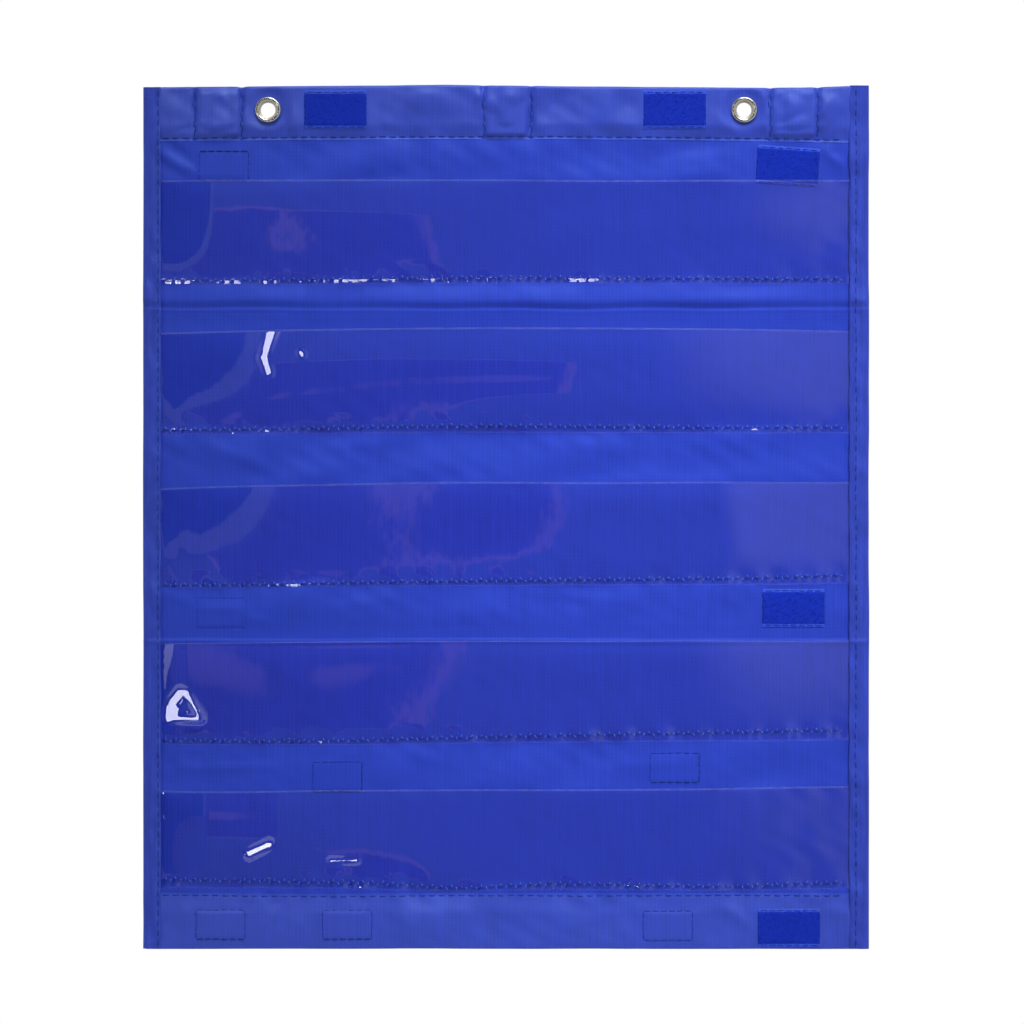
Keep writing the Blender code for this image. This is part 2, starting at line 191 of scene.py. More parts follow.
LOOP_NODES = [f"loop_patch_{n}" for n in ("header_left", "header_right", "top", "middle", "hem")]
HOOK_NODES = [
    f"hook_patch_{n}"
    for n in ("top", "middle", "lower_left", "lower_right", "hem_outer", "hem_left", "hem_right")
]
HEM_NODES = HOOK_NODES[4:]
# How far a back patch's sewn outline lies from the patch, across and up.
OUTLINE_SHIFTS = {
    "hook_patch_top": (1.0 * MM, -0.6 * MM),
    "hook_patch_hem_right": (-1.4 * MM, 0.3 * MM),
    "hook_patch_hem_left": (1.6 * MM, 0.4 * MM),
    "hook_patch_hem_outer": (-0.4 * MM, 0.7 * MM),
}
OUTLINE_HALF = (10.3 * MM, 6.1 * MM)
TOP_PATCH_TILT = math.radians(4)
patch_places = {node: patch_place(node) for node in LOOP_NODES + HOOK_NODES}
print("patches:", len(patch_places))


# %% The shared lie of the cloth
UPPER_ROLL = 1.05 * MM
ROLL_TOP = 12 * MM
ROLL_FRONT = 3.4 * MM
ROLL_FOOT = 0.2 * MM
ROLL_CHANGE = 0.35
CREASE_WANDER = 0.35 * MM
UPPER_RIDGE = 0.18 * MM
RIDGE_DROP = 0.75 * MM
RIDGE_WIDTH = 0.6 * MM
BELOW_UPPER = 0.45 * MM
LOWER_CREASE_HEIGHT = 0.36 * MM
LOWER_CREASE_REACH = 1.4 * MM
LOWER_CREASE_FALL = 1.9 * MM
LOWER_LEAN = 0.6 * MM
SWELL = 0.55 * MM
SWELL_PITCH = 120 * MM
GATHER = 0.32 * MM
GATHER_PITCH = 17 * MM
GATHER_REACH = 6.5 * MM
BAND_WAVE = 0.55 * MM
BAND_PITCH = 46 * MM
EMBOSS = 0.22 * MM
CREASE_CALM = 9 * MM
GATHER_LEAN = 0.35
GATHER_STRENGTHS = (1.25, 1.0, 0.55, 0.5, 0.5, 0.7, 0.55)
SEAM_SMOOTHING = (-9, -4, 0, 4, 9)


def header_seam(x):
    """The header's seam sags by a millimetre towards both ends."""
    share = x / half_width
    return HEADER_SEAM + 0.7 * MM - (1.0 + 0.7 * (x > 0)) * MM * share**2


def hem_seam(x):
    """The hem's seam is straight but for the wander of the machine."""
    return HEM_SEAM + 0.25 * MM * uneven(x, 0, 150 * MM, 31)


# How each pocket's seam strays from its level: places across and heights.
SEAM_CURVES = (
    ((-143, 0.0), (-101, 0.1), (-17, 1.2), (60, 0.9), (141, 0.6)),
    ((-140, 0.0), (-101, 0.4), (-12, 1.8), (93, 1.0), (141, 1.2)),
    ((-140, -1.4), (-101, -1.1), (-44, 0.1), (12, 0.8), (93, 1.4), (120, 1.9), (141, 3.0)),
    ((-143, 0.1), (-101, -0.4), (-59, 0.0), (-4, 1.6), (60, 2.7), (109, 3.7), (141, 4.4)),
    (
        (-143, 2.8), (-101, 2.0), (-59, 1.5), (-20, -1.0),
        (20, 1.1), (55, 0.5), (93, -0.3), (141, 1.6),
    ),
)


def seam_line(n, x):
    """Height of a pocket's bottom seam."""
    places, heights = zip(*SEAM_CURVES[n])
    strays = [np.interp(x / MM + step, places, heights) for step in SEAM_SMOOTHING]
    return seams[n] + sum(strays) / len(SEAM_SMOOTHING) * MM


# Where the small waves fade, counted from a patch's edge and from a grommet's middle.
PATCH_CALM = (-1.0 * MM, 6.0 * MM)
GROMMET_CALM = (5.5 * MM, 12 * MM)


def calm(x, z):
    """1 over plain cloth and 0 under a stiff patch or a grommet."""
    free = np.ones(np.broadcast(x, z).shape)
    for px, pz in patch_places.values():
        away = np.maximum(np.abs(x - px) - PATCH_LENGTH / 2, np.abs(z - pz) - PATCH_HEIGHT / 2)
        free = np.minimum(free, smooth(*PATCH_CALM, away))
    for place in GROMMETS:
        free = np.minimum(free, smooth(*GROMMET_CALM, np.hypot(x - place, z)))
    return free


def crease_relief(x, z, fine):
    """The upper crease is a step back under a soft roll, the lower one a low ridge."""
    above = z - upper_crease - CREASE_WANDER * uneven(x, 0, 70 * MM, 25)
    roll = smooth(ROLL_TOP, ROLL_FRONT, above) * smooth(ROLL_FOOT, ROLL_FRONT, above)
    lively = 1 + ROLL_CHANGE * uneven(x, 0, 80 * MM, 26)
    ridge = UPPER_RIDGE * hill(above + RIDGE_DROP, RIDGE_WIDTH)
    away = BELOW_UPPER * smooth(-0.5 * MM, -8 * MM, above) * smooth(-24 * MM, -10 * MM, above)
    crest = z - MOUTHS[3] + 0.3 * MM - 0.25 * MM * uneven(x, 0, 90 * MM, 27)
    reach = np.where(crest > 0, LOWER_CREASE_REACH, LOWER_CREASE_FALL)
    forward = LOWER_CREASE_HEIGHT * np.cos(math.pi / 2 * np.clip(crest / reach, -1, 1)) ** 2
    lean = LOWER_LEAN * smooth(1 * MM, 14 * MM, crest) * smooth(46 * MM, 18 * MM, crest)
    return away - UPPER_ROLL * roll * lively - ridge - forward * fine - lean


def under_vinyl(z):
    """1 where a clear strip covers the cloth, which keeps it flatter there."""
    cover = np.zeros(np.shape(z))
    for mouth, seam in zip(MOUTHS, seams):
        below_mouth = smooth(-4 * MM, 3 * MM, mouth - z)
        cover = np.maximum(cover, below_mouth * smooth(-3 * MM, 3 * MM, z - seam))
    return cover


def gathers(x, z):
    """Short puckers that stand across each seam and die away from it."""
    total = 0.0
    lines = [header_seam(x), hem_seam(x)] + [seam_line(n, x) for n in range(5)]
    for number, (line, strength) in enumerate(zip(lines, GATHER_STRENGTHS)):
        near = np.exp(-np.abs(z - line) / GATHER_REACH)
        lean = x + GATHER_LEAN * (z - line)
        total = total + strength * near * uneven(lean, 0.3 * z, GATHER_PITCH, 60 + number)
    return GATHER * total


# Loose folds below the header and on the bare bands between the pockets: place across, height,
# rise, reach along, reach across and turn in degrees.
SIDE_FOLDS = (
    (-141.0, -21.0, 0.9, 7.0, 1.8, -38),
    (-134.0, -24.5, 0.6, 5.0, 1.7, -30),
    (-138.0, -16.8, -0.6, 6.0, 1.7, -34),
    (137.0, -15.5, 0.5, 5.0, 1.6, 30),
    (138.0, -21.0, 0.7, 5.0, 1.7, -38),
    (80.0, -20.0, 0.4, 16.0, 3.0, 8),
    (-115.0, -145.0, 0.7, 22.0, 4.0, -16),
    (-60.0, -140.5, 0.3, 18.0, 2.5, 6),
    (40.0, -141.5, 0.3, 22.0, 3.0, -5),
    (-118.0, -209.4, 0.5, 12.0, 1.6, 2),
    (-137.0, -205.0, 0.5, 6.0, 2.2, -20),
    (-104.0, -214.0, 0.45, 9.0, 2.4, -12),
    (-62.0, -207.0, 0.35, 14.0, 2.4, 8),
    (30.0, -204.5, 0.35, 18.0, 2.2, -6),
    (-116.0, -276.2, 0.55, 20.0, 1.5, 2),
    (-130.0, -271.5, -0.3, 9.0, 1.3, 8),
    (-72.0, -273.0, 0.4, 12.0, 2.5, 20),
    (-34.0, -271.5, 0.35, 14.0, 3.0, -10),
    (60.0, -275.0, 0.35, 20.0, 2.6, 4),
)
RUMPLE = 0.1 * MM
RUMPLE_PITCH = 14 * MM


def folds_height(folds, x, z):
    """Height of loose folds towards the room."""
    total = 0.0
    for fx, fz, rise, along, across, turn in folds:
        dx, dz = x / MM - fx, z / MM - fz
        angle = math.radians(turn)
        length = dx * math.cos(angle) + dz * math.sin(angle)
        width = dz * math.cos(angle) - dx * math.sin(angle)
        total = total + rise * MM * np.exp(-((length / along) ** 2) - (width / across) ** 2)
    return total


def lie(x, z, fine=1.0):
    """Depth of the cloth's back face: positive is away from the room. fine fades its small waves."""
    free = calm(x, z) * fine
    creases = 1 - hill(z - upper_crease, CREASE_CALM) - hill(z - lower_crease, CREASE_CALM)
    swell = SWELL * uneven(x, z, SWELL_PITCH, 3, 0.7) * (1 - 0.5 * under_vinyl(z))
    band = BAND_WAVE * uneven(x, z, BAND_PITCH, 9, 1.7) * (1 - 0.85 * under_vinyl(z))
    band = band + RUMPLE * uneven(x, z, RUMPLE_PITCH, 11, 1.6) * (1 - 0.6 * under_vinyl(z))
    press = 0.0
    for node in HOOK_NODES:
        px, pz = patch_places[node]
        away = np.maximum(np.abs(x - px) - OUTLINE_HALF[0], np.abs(z - pz) - OUTLINE_HALF[1])
        press = press - EMBOSS * (1 - smooth(-0.6 * MM, 0.9 * MM, away))
    moved = (swell + (band + gathers(x, z)) * free) * np.clip(creases, 0.25, 1)
    return crease_relief(x, z, fine) + moved + (press - folds_height(SIDE_FOLDS, x, z)) * fine


sample_x, sample_z = np.meshgrid(np.linspace(-0.14, 0.14, 80), np.linspace(-0.34, 0.0, 90))
sample_lie = lie(sample_x, sample_z) / MM
print("lie from", round(sample_lie.min(), 2), "to", round(sample_lie.max(), 2), "mm")

# %% [markdown]
# ## Sheets from grids
#
# Each soft piece is a grid of points: columns across the chart and rows along the cloth. A grid is
# easy to shape with numpy, and Solidify gives it its thickness. The map of the flat cut is kept as
# a UV layer in metres, so that the weave follows the cloth round its folds and creases.

# %% A sheet of cloth or film from a grid of points
CUT_UNIT = 0.5
THINNEST = 0.25


def make_piece(name, mesh, material):
    mesh.materials.append(material)
    mesh.shade_smooth()
    piece = bpy.data.objects.new(name, mesh)
    bpy.context.scene.collection.objects.link(piece)
    return piece


def sharpen_border(mesh):
    """Marks the free edges as sharp, so that a cut edge doesn't darken the rows beside it."""
    uses = np.zeros(len(mesh.loops), np.int32)
    mesh.loops.foreach_get("edge_index", uses)
    border = np.bincount(uses, minlength=len(mesh.edges)) == 1
    sharp = mesh.attributes.new("sharp_edge", "BOOLEAN", "EDGE")
    sharp.data.foreach_set("value", border)


def grid_sheet(name, points, cut, thickness, material, keep=None, turn=False, thin=None):
    """A solidified sheet from two arrays of (columns, rows): its places and its flat-cut places.

    keep says which faces stay. thin is 0 for full thickness to 1 for a quarter of it.
    """
    columns, rows = points.shape[:2]
    number = np.arange(columns * rows).reshape(columns, rows)
    faces = np.stack([number[:-1, :-1], number[1:, :-1], number[1:, 1:], number[:-1, 1:]], -1)
    faces = faces.reshape(-1, 4)
    if turn:
        faces = faces[:, ::-1]
    if keep is not None:
        faces = faces[keep.reshape(-1)]
    used, index = np.unique(faces, return_inverse=True)
    faces = index.reshape(-1, 4)
    mesh = bpy.data.meshes.new(name)
    mesh.from_pydata(points.reshape(-1, 3)[used].tolist(), [], faces.tolist())
    layer = mesh.uv_layers.new(name="cut")
    layer.data.foreach_set("uv", (cut.reshape(-1, 2)[used][faces.reshape(-1)] / CUT_UNIT).reshape(-1))
    sharpen_border(mesh)
    piece = make_piece(name, mesh, material)
    solid = piece.modifiers.new("Thickness", "SOLIDIFY")
    solid.thickness = thickness
    solid.offset = -1
    if thin is not None:
        group = piece.vertex_groups.new(name="full")
        for place, weight in enumerate(1 - thin.reshape(-1)[used]):
            group.add([place], float(weight), "REPLACE")
        solid.vertex_group = "full"
        solid.thickness_vertex_group = THINNEST
    return piece


def spaced(low, high, pitch, fine=()):
    """Places from low to high about a pitch apart, with closer ones round each fine place."""
    places = list(np.linspace(low, high, max(int(round((high - low) / pitch)), 1) + 1))
    for place, reach, step in fine:
        places += [p for p in np.arange(place - reach, place + reach, step) if low < p < high]
    places = sorted(places)
    kept = [places[0]]
    for place in places[1:-1]:
        if place - kept[-1] > 0.3 * MM and places[-1] - place > 0.3 * MM:
            kept.append(place)
    return np.array(kept + [places[-1]])


# %% [markdown]
# ## Weave and thread
#
# Ripstop nylon is a plain weave with a thicker yarn every few threads, which draws a fine grid.
# The pattern is a node group, so that the cloth, the tapes and the patches' ground share it with
# their own pitch and strength.

# %% Node helpers
def add_node(tree, kind, place=(0, 0), **settings):
    node = tree.nodes.new(kind)
    node.location = place
    for name, value in settings.items():
        setattr(node, name, value)
    return node


def math_node(tree, operation, first, second=None, third=None, clamp=False):
    """A Math node whose inputs are numbers or sockets. The third is what MULTIPLY_ADD adds."""
    node = add_node(tree, "ShaderNodeMath", operation=operation, use_clamp=clamp)
    for socket, value in zip(node.inputs, (first, second, third)):
        if value is None:
            continue
        if isinstance(value, (int, float)):
            socket.default_value = value
        else:
            tree.links.new(value, socket)
    return node.outputs[0]


def new_group(name, inputs, outputs):
    """An empty shader group with named sockets; inputs give each number's default."""
    tree = bpy.data.node_groups.new(name, "ShaderNodeTree")
    for label, kind, value in inputs:
        socket = tree.interface.new_socket(label, in_out="INPUT", socket_type=kind)
        if value is not None:
            socket.default_value = value
    for label, kind in outputs:
        tree.interface.new_socket(label, in_out="OUTPUT", socket_type=kind)
    return tree, add_node(tree, "NodeGroupInput"), add_node(tree, "NodeGroupOutput")


def cut_places(tree):
    """Places on the flat cut, from the UV layer that every sheet carries."""
    return add_node(tree, "ShaderNodeUVMap", uv_map="cut").outputs[0]


def object_places(tree):
    """Places in metres in the object's own frame."""
    return add_node(tree, "ShaderNodeTexCoord").outputs["Object"]


def noise(tree, places, scale, detail=2.0, roughness=0.5):
    """Cloudy values around 0.5."""
    node = add_node(tree, "ShaderNodeTexNoise")
    node.inputs["Scale"].default_value = scale
    node.inputs["Detail"].default_value = detail
    node.inputs["Roughness"].default_value = roughness
    tree.links.new(places, node.inputs["Vector"])
    return node.outputs["Fac"]


def ramp(tree, value, low, high, start=0.0, stop=1.0, kind="LINEAR"):
    """start where the value is low, stop where it is high, and between them in between."""
    node = add_node(tree, "ShaderNodeMapRange", interpolation_type=kind)
    for label, number in (("From Min", low), ("From Max", high), ("To Min", start), ("To Max", stop)):
        node.inputs[label].default_value = number
    tree.links.new(value, node.inputs["Value"])
    return node.outputs[0]


def press_relief(tree, shader, height, strength, distance):
    """A Bump node from height values, linked to the shader."""
    relief = add_node(tree, "ShaderNodeBump")
    relief.inputs["Strength"].default_value = strength
    relief.inputs["Distance"].default_value = distance
    tree.links.new(height, relief.inputs["Height"])
    tree.links.new(relief.outputs[0], shader.inputs["Normal"])
    return relief.outputs[0]


def mix_surfaces(tree, share, first, second):
    """Shows the first shader where share is 0 and the second where it is 1."""
    mix = add_node(tree, "ShaderNodeMixShader")
    for socket, value in zip(mix.inputs, (share, first.outputs[0], second.outputs[0])):
        tree.links.new(value, socket)
    tree.links.new(mix.outputs[0], tree.nodes["Material Output"].inputs["Surface"])


# %% The ripstop weave group
GRID_PITCH = 1.6 * MM
GRID_WIDTH = 0.5 * MM
YARN_PITCH = 0.26 * MM
FADE_SCALE = 110.0
FADED_GRID = 0.25
CLOUD_SCALE = 55.0
STREAK_SCALES = (620.0, 32.0, 1.0)
YARN_HEIGHT = 0.4
GRID_STRENGTHS = (("X", 1.0), ("Y", 0.6))


def make_weave_group():
    number = "NodeSocketFloat"
    tree, given, out = new_group(
        "Ripstop weave",
        [
            ("Cut", "NodeSocketVector", None),
            ("Grid Pitch", number, GRID_PITCH),
            ("Yarn Pitch", number, YARN_PITCH),
            ("Grid Width", number, GRID_WIDTH),
        ],
        [("Grid", number), ("Yarn", number), ("Cloud", number), ("Streak", number), ("Height", number)],
    )
    metres = add_node(tree, "ShaderNodeVectorMath", operation="SCALE")
    metres.inputs["Scale"].default_value = CUT_UNIT
    tree.links.new(given.outputs["Cut"], metres.inputs[0])
    split = add_node(tree, "ShaderNodeSeparateXYZ")
    tree.links.new(metres.outputs[0], split.inputs[0])
    lines = []
    yarns = []
    half_pitch = math_node(tree, "MULTIPLY", given.outputs["Grid Pitch"], 0.5)
    for axis, strength in GRID_STRENGTHS:
        away = math_node(tree, "PINGPONG", split.outputs[axis], half_pitch)
        share = math_node(tree, "DIVIDE", away, given.outputs["Grid Width"], clamp=True)
        line = math_node(tree, "SUBTRACT", 1.0, share)
        lines.append(math_node(tree, "MULTIPLY", line, strength))
        turns = math_node(tree, "DIVIDE", split.outputs[axis], given.outputs["Yarn Pitch"])
        yarns.append(math_node(tree, "SINE", math_node(tree, "MULTIPLY", turns, math.tau)))
    places = metres.outputs[0]
    strength = ramp(tree, noise(tree, places, FADE_SCALE), 0.35, 0.65, FADED_GRID)
    grid = math_node(tree, "MULTIPLY", math_node(tree, "MAXIMUM", *lines), strength)
    yarn = math_node(tree, "MULTIPLY_ADD", math_node(tree, "MULTIPLY", *yarns), 0.5, 0.5)
    stretched = add_node(tree, "ShaderNodeVectorMath", operation="MULTIPLY")
    stretched.inputs[1].default_value = STREAK_SCALES
    tree.links.new(places, stretched.inputs[0])
    results = {
        "Grid": grid,
        "Yarn": yarn,
        "Cloud": noise(tree, places, CLOUD_SCALE, 5.0, 0.6),
        "Streak": noise(tree, stretched.outputs[0], 1.0),
        "Height": math_node(tree, "MULTIPLY_ADD", yarn, YARN_HEIGHT, grid),
    }
    for label, socket in results.items():
        tree.links.new(socket, out.inputs[label])
    return tree


weave_group = make_weave_group()
print("group:", weave_group.name, [s.name for s in weave_group.interface.items_tree])


# %% [markdown]
# The cloth's colour is a deep royal blue. Between the grid lines the flat yarns catch a little more
# light than on them, and dye takes unevenly, so a slow cloud shifts the tone by a few percent.

# %% The nylon materials
def mix_colours(tree, factor, low, high):
    """A colour between low and high. factor is a socket, low and high are colours or sockets."""
    node = add_node(tree, "ShaderNodeMix", data_type="RGBA")
    tree.links.new(factor, node.inputs["Factor"])
    for socket, value in zip((node.inputs[6], node.inputs[7]), (low, high)):
        if isinstance(value, tuple):
            socket.default_value = (*value, 1.0)
        else:
            tree.links.new(value, socket)
    return node.outputs[2]


def new_material(name):
    """A material with its node tree and its Principled shader."""
    material = bpy.data.materials.new(name)
    material.use_nodes = True
    tree = material.node_tree
    return material, tree, tree.nodes["Principled BSDF"]


LUSTRE = (0.30, 0.50, 1.0, 1.0)
BRIGHT_LUSTRE = (0.70, 0.95, 1.0, 1.0)
SHEEN = (0.3, 0.5, 1.0, 1.0)
STREAK_SHARE = 0.6
YARN_ROUGHNESS = 0.12
WEAVE_BUMP = 0.35
WEAVE_DEPTH = 0.06 * MM


def make_nylon(name, ground, line, roughness, pitch=GRID_PITCH, cloud_share=0.2, lustre=LUSTRE):
    """Woven nylon: ground and line are its colours between and on the grid's lines."""
    material, tree, shader = new_material(name)
    weave = add_node(tree, "ShaderNodeGroup", node_tree=weave_group)
    weave.inputs["Grid Pitch"].default_value = pitch
    tree.links.new(cut_places(tree), weave.inputs["Cut"])
    colour = mix_colours(tree, weave.outputs["Grid"], ground, line)
    cloud = math_node(tree, "MULTIPLY", weave.outputs["Cloud"], 1 - STREAK_SHARE)
    both = math_node(tree, "MULTIPLY_ADD", weave.outputs["Streak"], STREAK_SHARE, cloud)
    tone = add_node(tree, "ShaderNodeVectorMath", operation="SCALE")
    tree.links.new(colour, tone.inputs[0])
    shade = ramp(tree, both, 0.3, 0.7, 1 - cloud_share / 2, 1 + cloud_share / 2)
    tree.links.new(shade, tone.inputs["Scale"])
    tree.links.new(tone.outputs[0], shader.inputs["Base Color"])
    spread = YARN_ROUGHNESS
    rough = math_node(tree, "MULTIPLY_ADD", weave.outputs["Yarn"], spread, roughness - spread / 2)
    tree.links.new(rough, shader.inputs["Roughness"])
    press_relief(tree, shader, weave.outputs["Height"], WEAVE_BUMP, WEAVE_DEPTH)
    shader.inputs["Specular IOR Level"].default_value = 0.9
    shader.inputs["Specular Tint"].default_value = lustre
    shader.inputs["Sheen Weight"].default_value = 0.05
    shader.inputs["Sheen Roughness"].default_value = 0.4
    shader.inputs["Sheen Tint"].default_value = SHEEN
    return material


BLUE = (0.0195, 0.0445, 0.52)
LINE_BLUE = (0.0145, 0.0355, 0.43)
nylon = make_nylon("ripstop nylon", BLUE, LINE_BLUE, 0.52)
doubled = make_nylon("doubled nylon", BLUE, LINE_BLUE, 0.52, lustre=BRIGHT_LUSTRE)
# The header's turned edge is a lighter blue: a painted highlight along its roll.
EDGE_HIGHLIGHT_BLUES = ((0.036, 0.085, 0.68), (0.028, 0.070, 0.58))
painted_edge_highlight = make_nylon("sealed nylon edge", *EDGE_HIGHLIGHT_BLUES, 0.55, lustre=BRIGHT_LUSTRE)
TAPE_BLUES = ((0.030, 0.052, 0.47), (0.022, 0.040, 0.38))
edging = make_nylon("edging tape", *TAPE_BLUES, 0.5, pitch=1.2 * MM, cloud_share=0.45)

# %% [markdown]
# ## The cloth
#
# The nylon is one sheet on the real chart. It is cut from two grids here, because a piece can bend
# across one crease only: the upper grid runs from a pocket seam up over the header, the lower one
# from the same seam down round the hem. They share the row under that seam.

# %% The header's and the hem's loft
PUFF = 1.5 * MM
HEM_PUFF = 0.8 * MM
MAGNET_LOFT = 2.5 * MM
CLAMPED_LOFT = 0.5 * MM
SEWN_GAP = 0.06 * MM
PINCH = 1.1 * MM
HEADER_WAVE = (0.4 * MM, 24 * MM)
HEM_WAVE = (0.35 * MM, 30 * MM)
CLAMP_REACH = (6.0 * MM, 10.5 * MM)
TAPE_PRESS = 4.5 * MM
SLEEVE_PINCH = 0.55
MAGNET_FOOT = (-16 * MM, -8.5 * MM)
MAGNET_HEAD = (4.6 * MM, 9.6 * MM)


def sleeve_line(z):
    """A sleeve's stitches wander by a fraction of a millimetre."""
    return SLEEVE_HALF + 0.25 * MM * uneven(0, z, 9 * MM, 400)


def under_tapes(x, loft):
    """The tapes press the two leaves together at the side edges."""
    for side, edge in ((-1, left_tape_edge), (1, right_tape_edge)):
        loft = loft * smooth(-TAPE_PRESS, 0.0, side * (edge - x))
    return loft


def header_loft(x, z):
    """Space between the header's two leaves: none at the seam and little at the sleeves' stitches."""
    height, pitch = HEADER_WAVE
    loft = PUFF + height * uneven(x, z, pitch, 12) * calm(x, z)
    for place in SLEEVES:
        across = np.abs(x - place)
        inside = 1 - smooth(1.0 * MM, SLEEVE_HALF, across)
        held = smooth(*MAGNET_FOOT, z) * (1 - 0.3 * smooth(*MAGNET_HEAD, z))
        loft = np.maximum(loft, MAGNET_LOFT * inside * held)
        loft = loft * (1 - SLEEVE_PINCH * hill(across - sleeve_line(z), PINCH))
    for place in GROMMETS:
        clamp = smooth(*CLAMP_REACH, np.hypot(x - place, z))
        loft = CLAMPED_LOFT + (loft - CLAMPED_LOFT) * clamp
    rise = smooth(-0.5 * MM, 6 * MM, z - header_seam(x))
    return SEWN_GAP + np.maximum(under_tapes(x, loft) - SEWN_GAP, 0) * rise


def hem_loft(x, z):
    """Space between the hem's two leaves."""
    height, pitch = HEM_WAVE
    loft = HEM_PUFF + height * uneven(x, z, pitch, 14) * calm(x, z)
    rise = smooth(0.5 * MM, 8 * MM, hem_seam(x) - z)
    return SEWN_GAP + np.maximum(under_tapes(x, loft) - SEWN_GAP, 0) * rise


# Folds that show in the header, given as SIDE_FOLDS are.
HEADER_FOLDS = (
    (-134.8, -8.8, -0.75, 6.5, 1.7, 19),
    (-127.3, -5.6, 0.55, 4.5, 2.0, 42),
    (-131.4, 1.6, 0.45, 3.8, 1.8, 80),
    (-115.8, 3.2, 1.1, 8.5, 2.8, -48),
    (-124.6, 5.0, 0.3, 6.0, 1.8, 10),
    (-117.0, -8.0, 0.45, 3.0, 1.5, 60),
    (-88.6, 0.8, 0.85, 7.5, 2.6, 88),
    (-92.9, -6.6, -0.7, 5.5, 1.7, 76),
    (-99.1, -8.4, 0.35, 7.0, 1.6, 4),
    (-60.0, -3.0, 0.35, 9.0, 3.0, 96),
    (-34.0, 1.5, 0.35, 12.0, 4.0, 84),
    (-10.4, 4.6, 0.45, 4.0, 2.2, 90),
    (-7.0, -6.8, 0.4, 3.4, 1.3, 92),
    (6.6, 5.4, 0.4, 3.4, 2.2, 70),
    (3.0, -3.5, 0.3, 4.4, 2.6, 20),
    (13.2, -4.0, 0.45, 5.2, 2.4, 86),
    (42.0, 0.0, 0.3, 14.0, 5.0, 82),
    (83.0, 2.0, 0.35, 6.0, 2.4, 80),
    (113.8, -7.8, 0.45, 3.4, 1.5, 10),
    (121.0, -3.2, -0.6, 7.0, 2.0, 28),
    (118.0, 3.4, 0.35, 6.0, 2.2, -20),
    (134.8, 2.2, 0.6, 4.6, 2.0, 58),
    (132.0, -7.2, 0.5, 3.6, 1.6, 32),
    (139.0, -4.0, -0.4, 5.0, 1.6, 70),
)


CRUMPLE = 0.22 * MM


def fold_relief(x, z):
    """Height of the header's folds and crumples towards the room."""
    crumple = 0.5 - np.abs(uneven(x, 0.8 * z, 26 * MM, 21)) + 0.4 * uneven(x, z, 9 * MM, 22)
    return folds_height(HEADER_FOLDS, x, z) + CRUMPLE * crumple


# How deep each sleeve's two lines of stitches draw the top edge in.
DIPS = ((0.0, 0.35 * MM), (0.1 * MM, 0.15 * MM), (0.25 * MM, 0.3 * MM))


# The folded top edge is a slow curve: places across and heights.
TOP_LINE = (
    (-152, 9.4), (-126, 9.7), (-65, 10.2), (-24, 10.5), (0, 10.1),
    (81, 9.5), (107, 9.3), (124, 9.4), (152, 10.2),
)
TOP_DIP_WIDTH = 1.6 * MM
HEM_DROP = 0.55 * MM
HEM_WANDER = 0.15 * MM
TAPE_TOPS = {-1: 9.4 * MM, 1: 10.1 * MM}
TAPE_ENDS = {-1: chart_bottom - 0.3 * MM, 1: chart_bottom - 0.5 * MM}


def top_edge(x):
    """The folded top edge dips where the sleeves' stitches draw it in."""
    dip = 0.0
    for place, depths in zip(SLEEVES, DIPS):
        for side, depth in zip((-1, 1), depths):
            dip = dip + depth * hill(x - place - side * SLEEVE_HALF, TOP_DIP_WIDTH)
    return np.interp(x / MM, *zip(*TOP_LINE)) * MM - dip


def bottom_edge(x):
    """The folded bottom edge hangs a little below the tapes' ends."""
    return chart_bottom - HEM_DROP + HEM_WANDER * uneven(x, 0, 70 * MM, 18)


# %% Stitch dimples along every line of thread
STITCH_PITCH = 4.14 * MM
STITCH_DIP = 0.16 * MM
STITCH_WIDTH = 0.9 * MM


def sunk(away, along):
    """How far thread draws a surface in: along a line, and deeper at each needle hole."""
    holes = 0.65 + 0.35 * np.cos(along * math.tau / STITCH_PITCH)
    return STITCH_DIP * holes * hill(away, STITCH_WIDTH)


def outline_place(node):
    """Middle of the rectangle that is sewn over a back patch."""
    shift = OUTLINE_SHIFTS.get(node, (0.0, 0.0))
    return patch_places[node][0] + shift[0], patch_places[node][1] + shift[1]


def box_line(x, z, node):
    """Distance from the sewn outline of a back patch, and the place along it."""
    px, pz = outline_place(node)
    across = np.abs(x - px) - OUTLINE_HALF[0]
    up = np.abs(z - pz) - OUTLINE_HALF[1]
    outside = np.hypot(np.maximum(across, 0), np.maximum(up, 0))
    away = np.where((across < 0) & (up < 0), np.maximum(across, up), outside)
    return away, np.where(across > up, z, x)


MAGNET_GAP = 0.15 * MM
POCKET_SEAM_DIP = 0.5


def magnet_covers(x, z):
    """Each magnet's front and back, and 1 where a leaf of the header lies over it."""
    for label in ("left", "middle", "right"):
        low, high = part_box(f"magnet_{label}")
        across = np.abs(x - (low.x + high.x) / 2) - (high.x - low.x) / 2
        up = np.abs(z - (low.z + high.z) / 2) - (high.z - low.z) / 2
        aside, above = np.maximum(across, 0), np.maximum(up, 0) * np.where(z > 0, 0.5, 1.0)
        yield low.y, high.y, smooth(2.0 * MM, 0.1 * MM, np.hypot(aside, above))


def main_leaf(x, z):
    """Back face of the single cloth, with the thread's dimples. It stays clear of the magnets."""
    depth = lie(x, z)
    for n in range(5):
        depth = depth - POCKET_SEAM_DIP * sunk(z - seam_line(n, x), x)
    for node in HOOK_NODES:
        depth = depth + sunk(*box_line(x, z, node))
    for front, back, near in magnet_covers(x, z):
        depth = depth + (np.maximum(depth, back + MAGNET_GAP + CLOTH) - depth) * near
    return depth


TURNED_ROLL = 0.1 * MM
TURNED_WIDTH = 0.5 * MM
FOLD_HOLD = 0.8
DEEPEST_FOLD = 0.6
SLEEVE_DIP = 2.2
DIP_SPREAD = 1.4
OUTLINE_DIP = 1.4


def turned_thin(beyond):
    """1 where the turned edge is pressed thin beyond its seam, where it casts no hard shadow."""
    return smooth(0.3 * MM, -0.9 * MM, beyond)


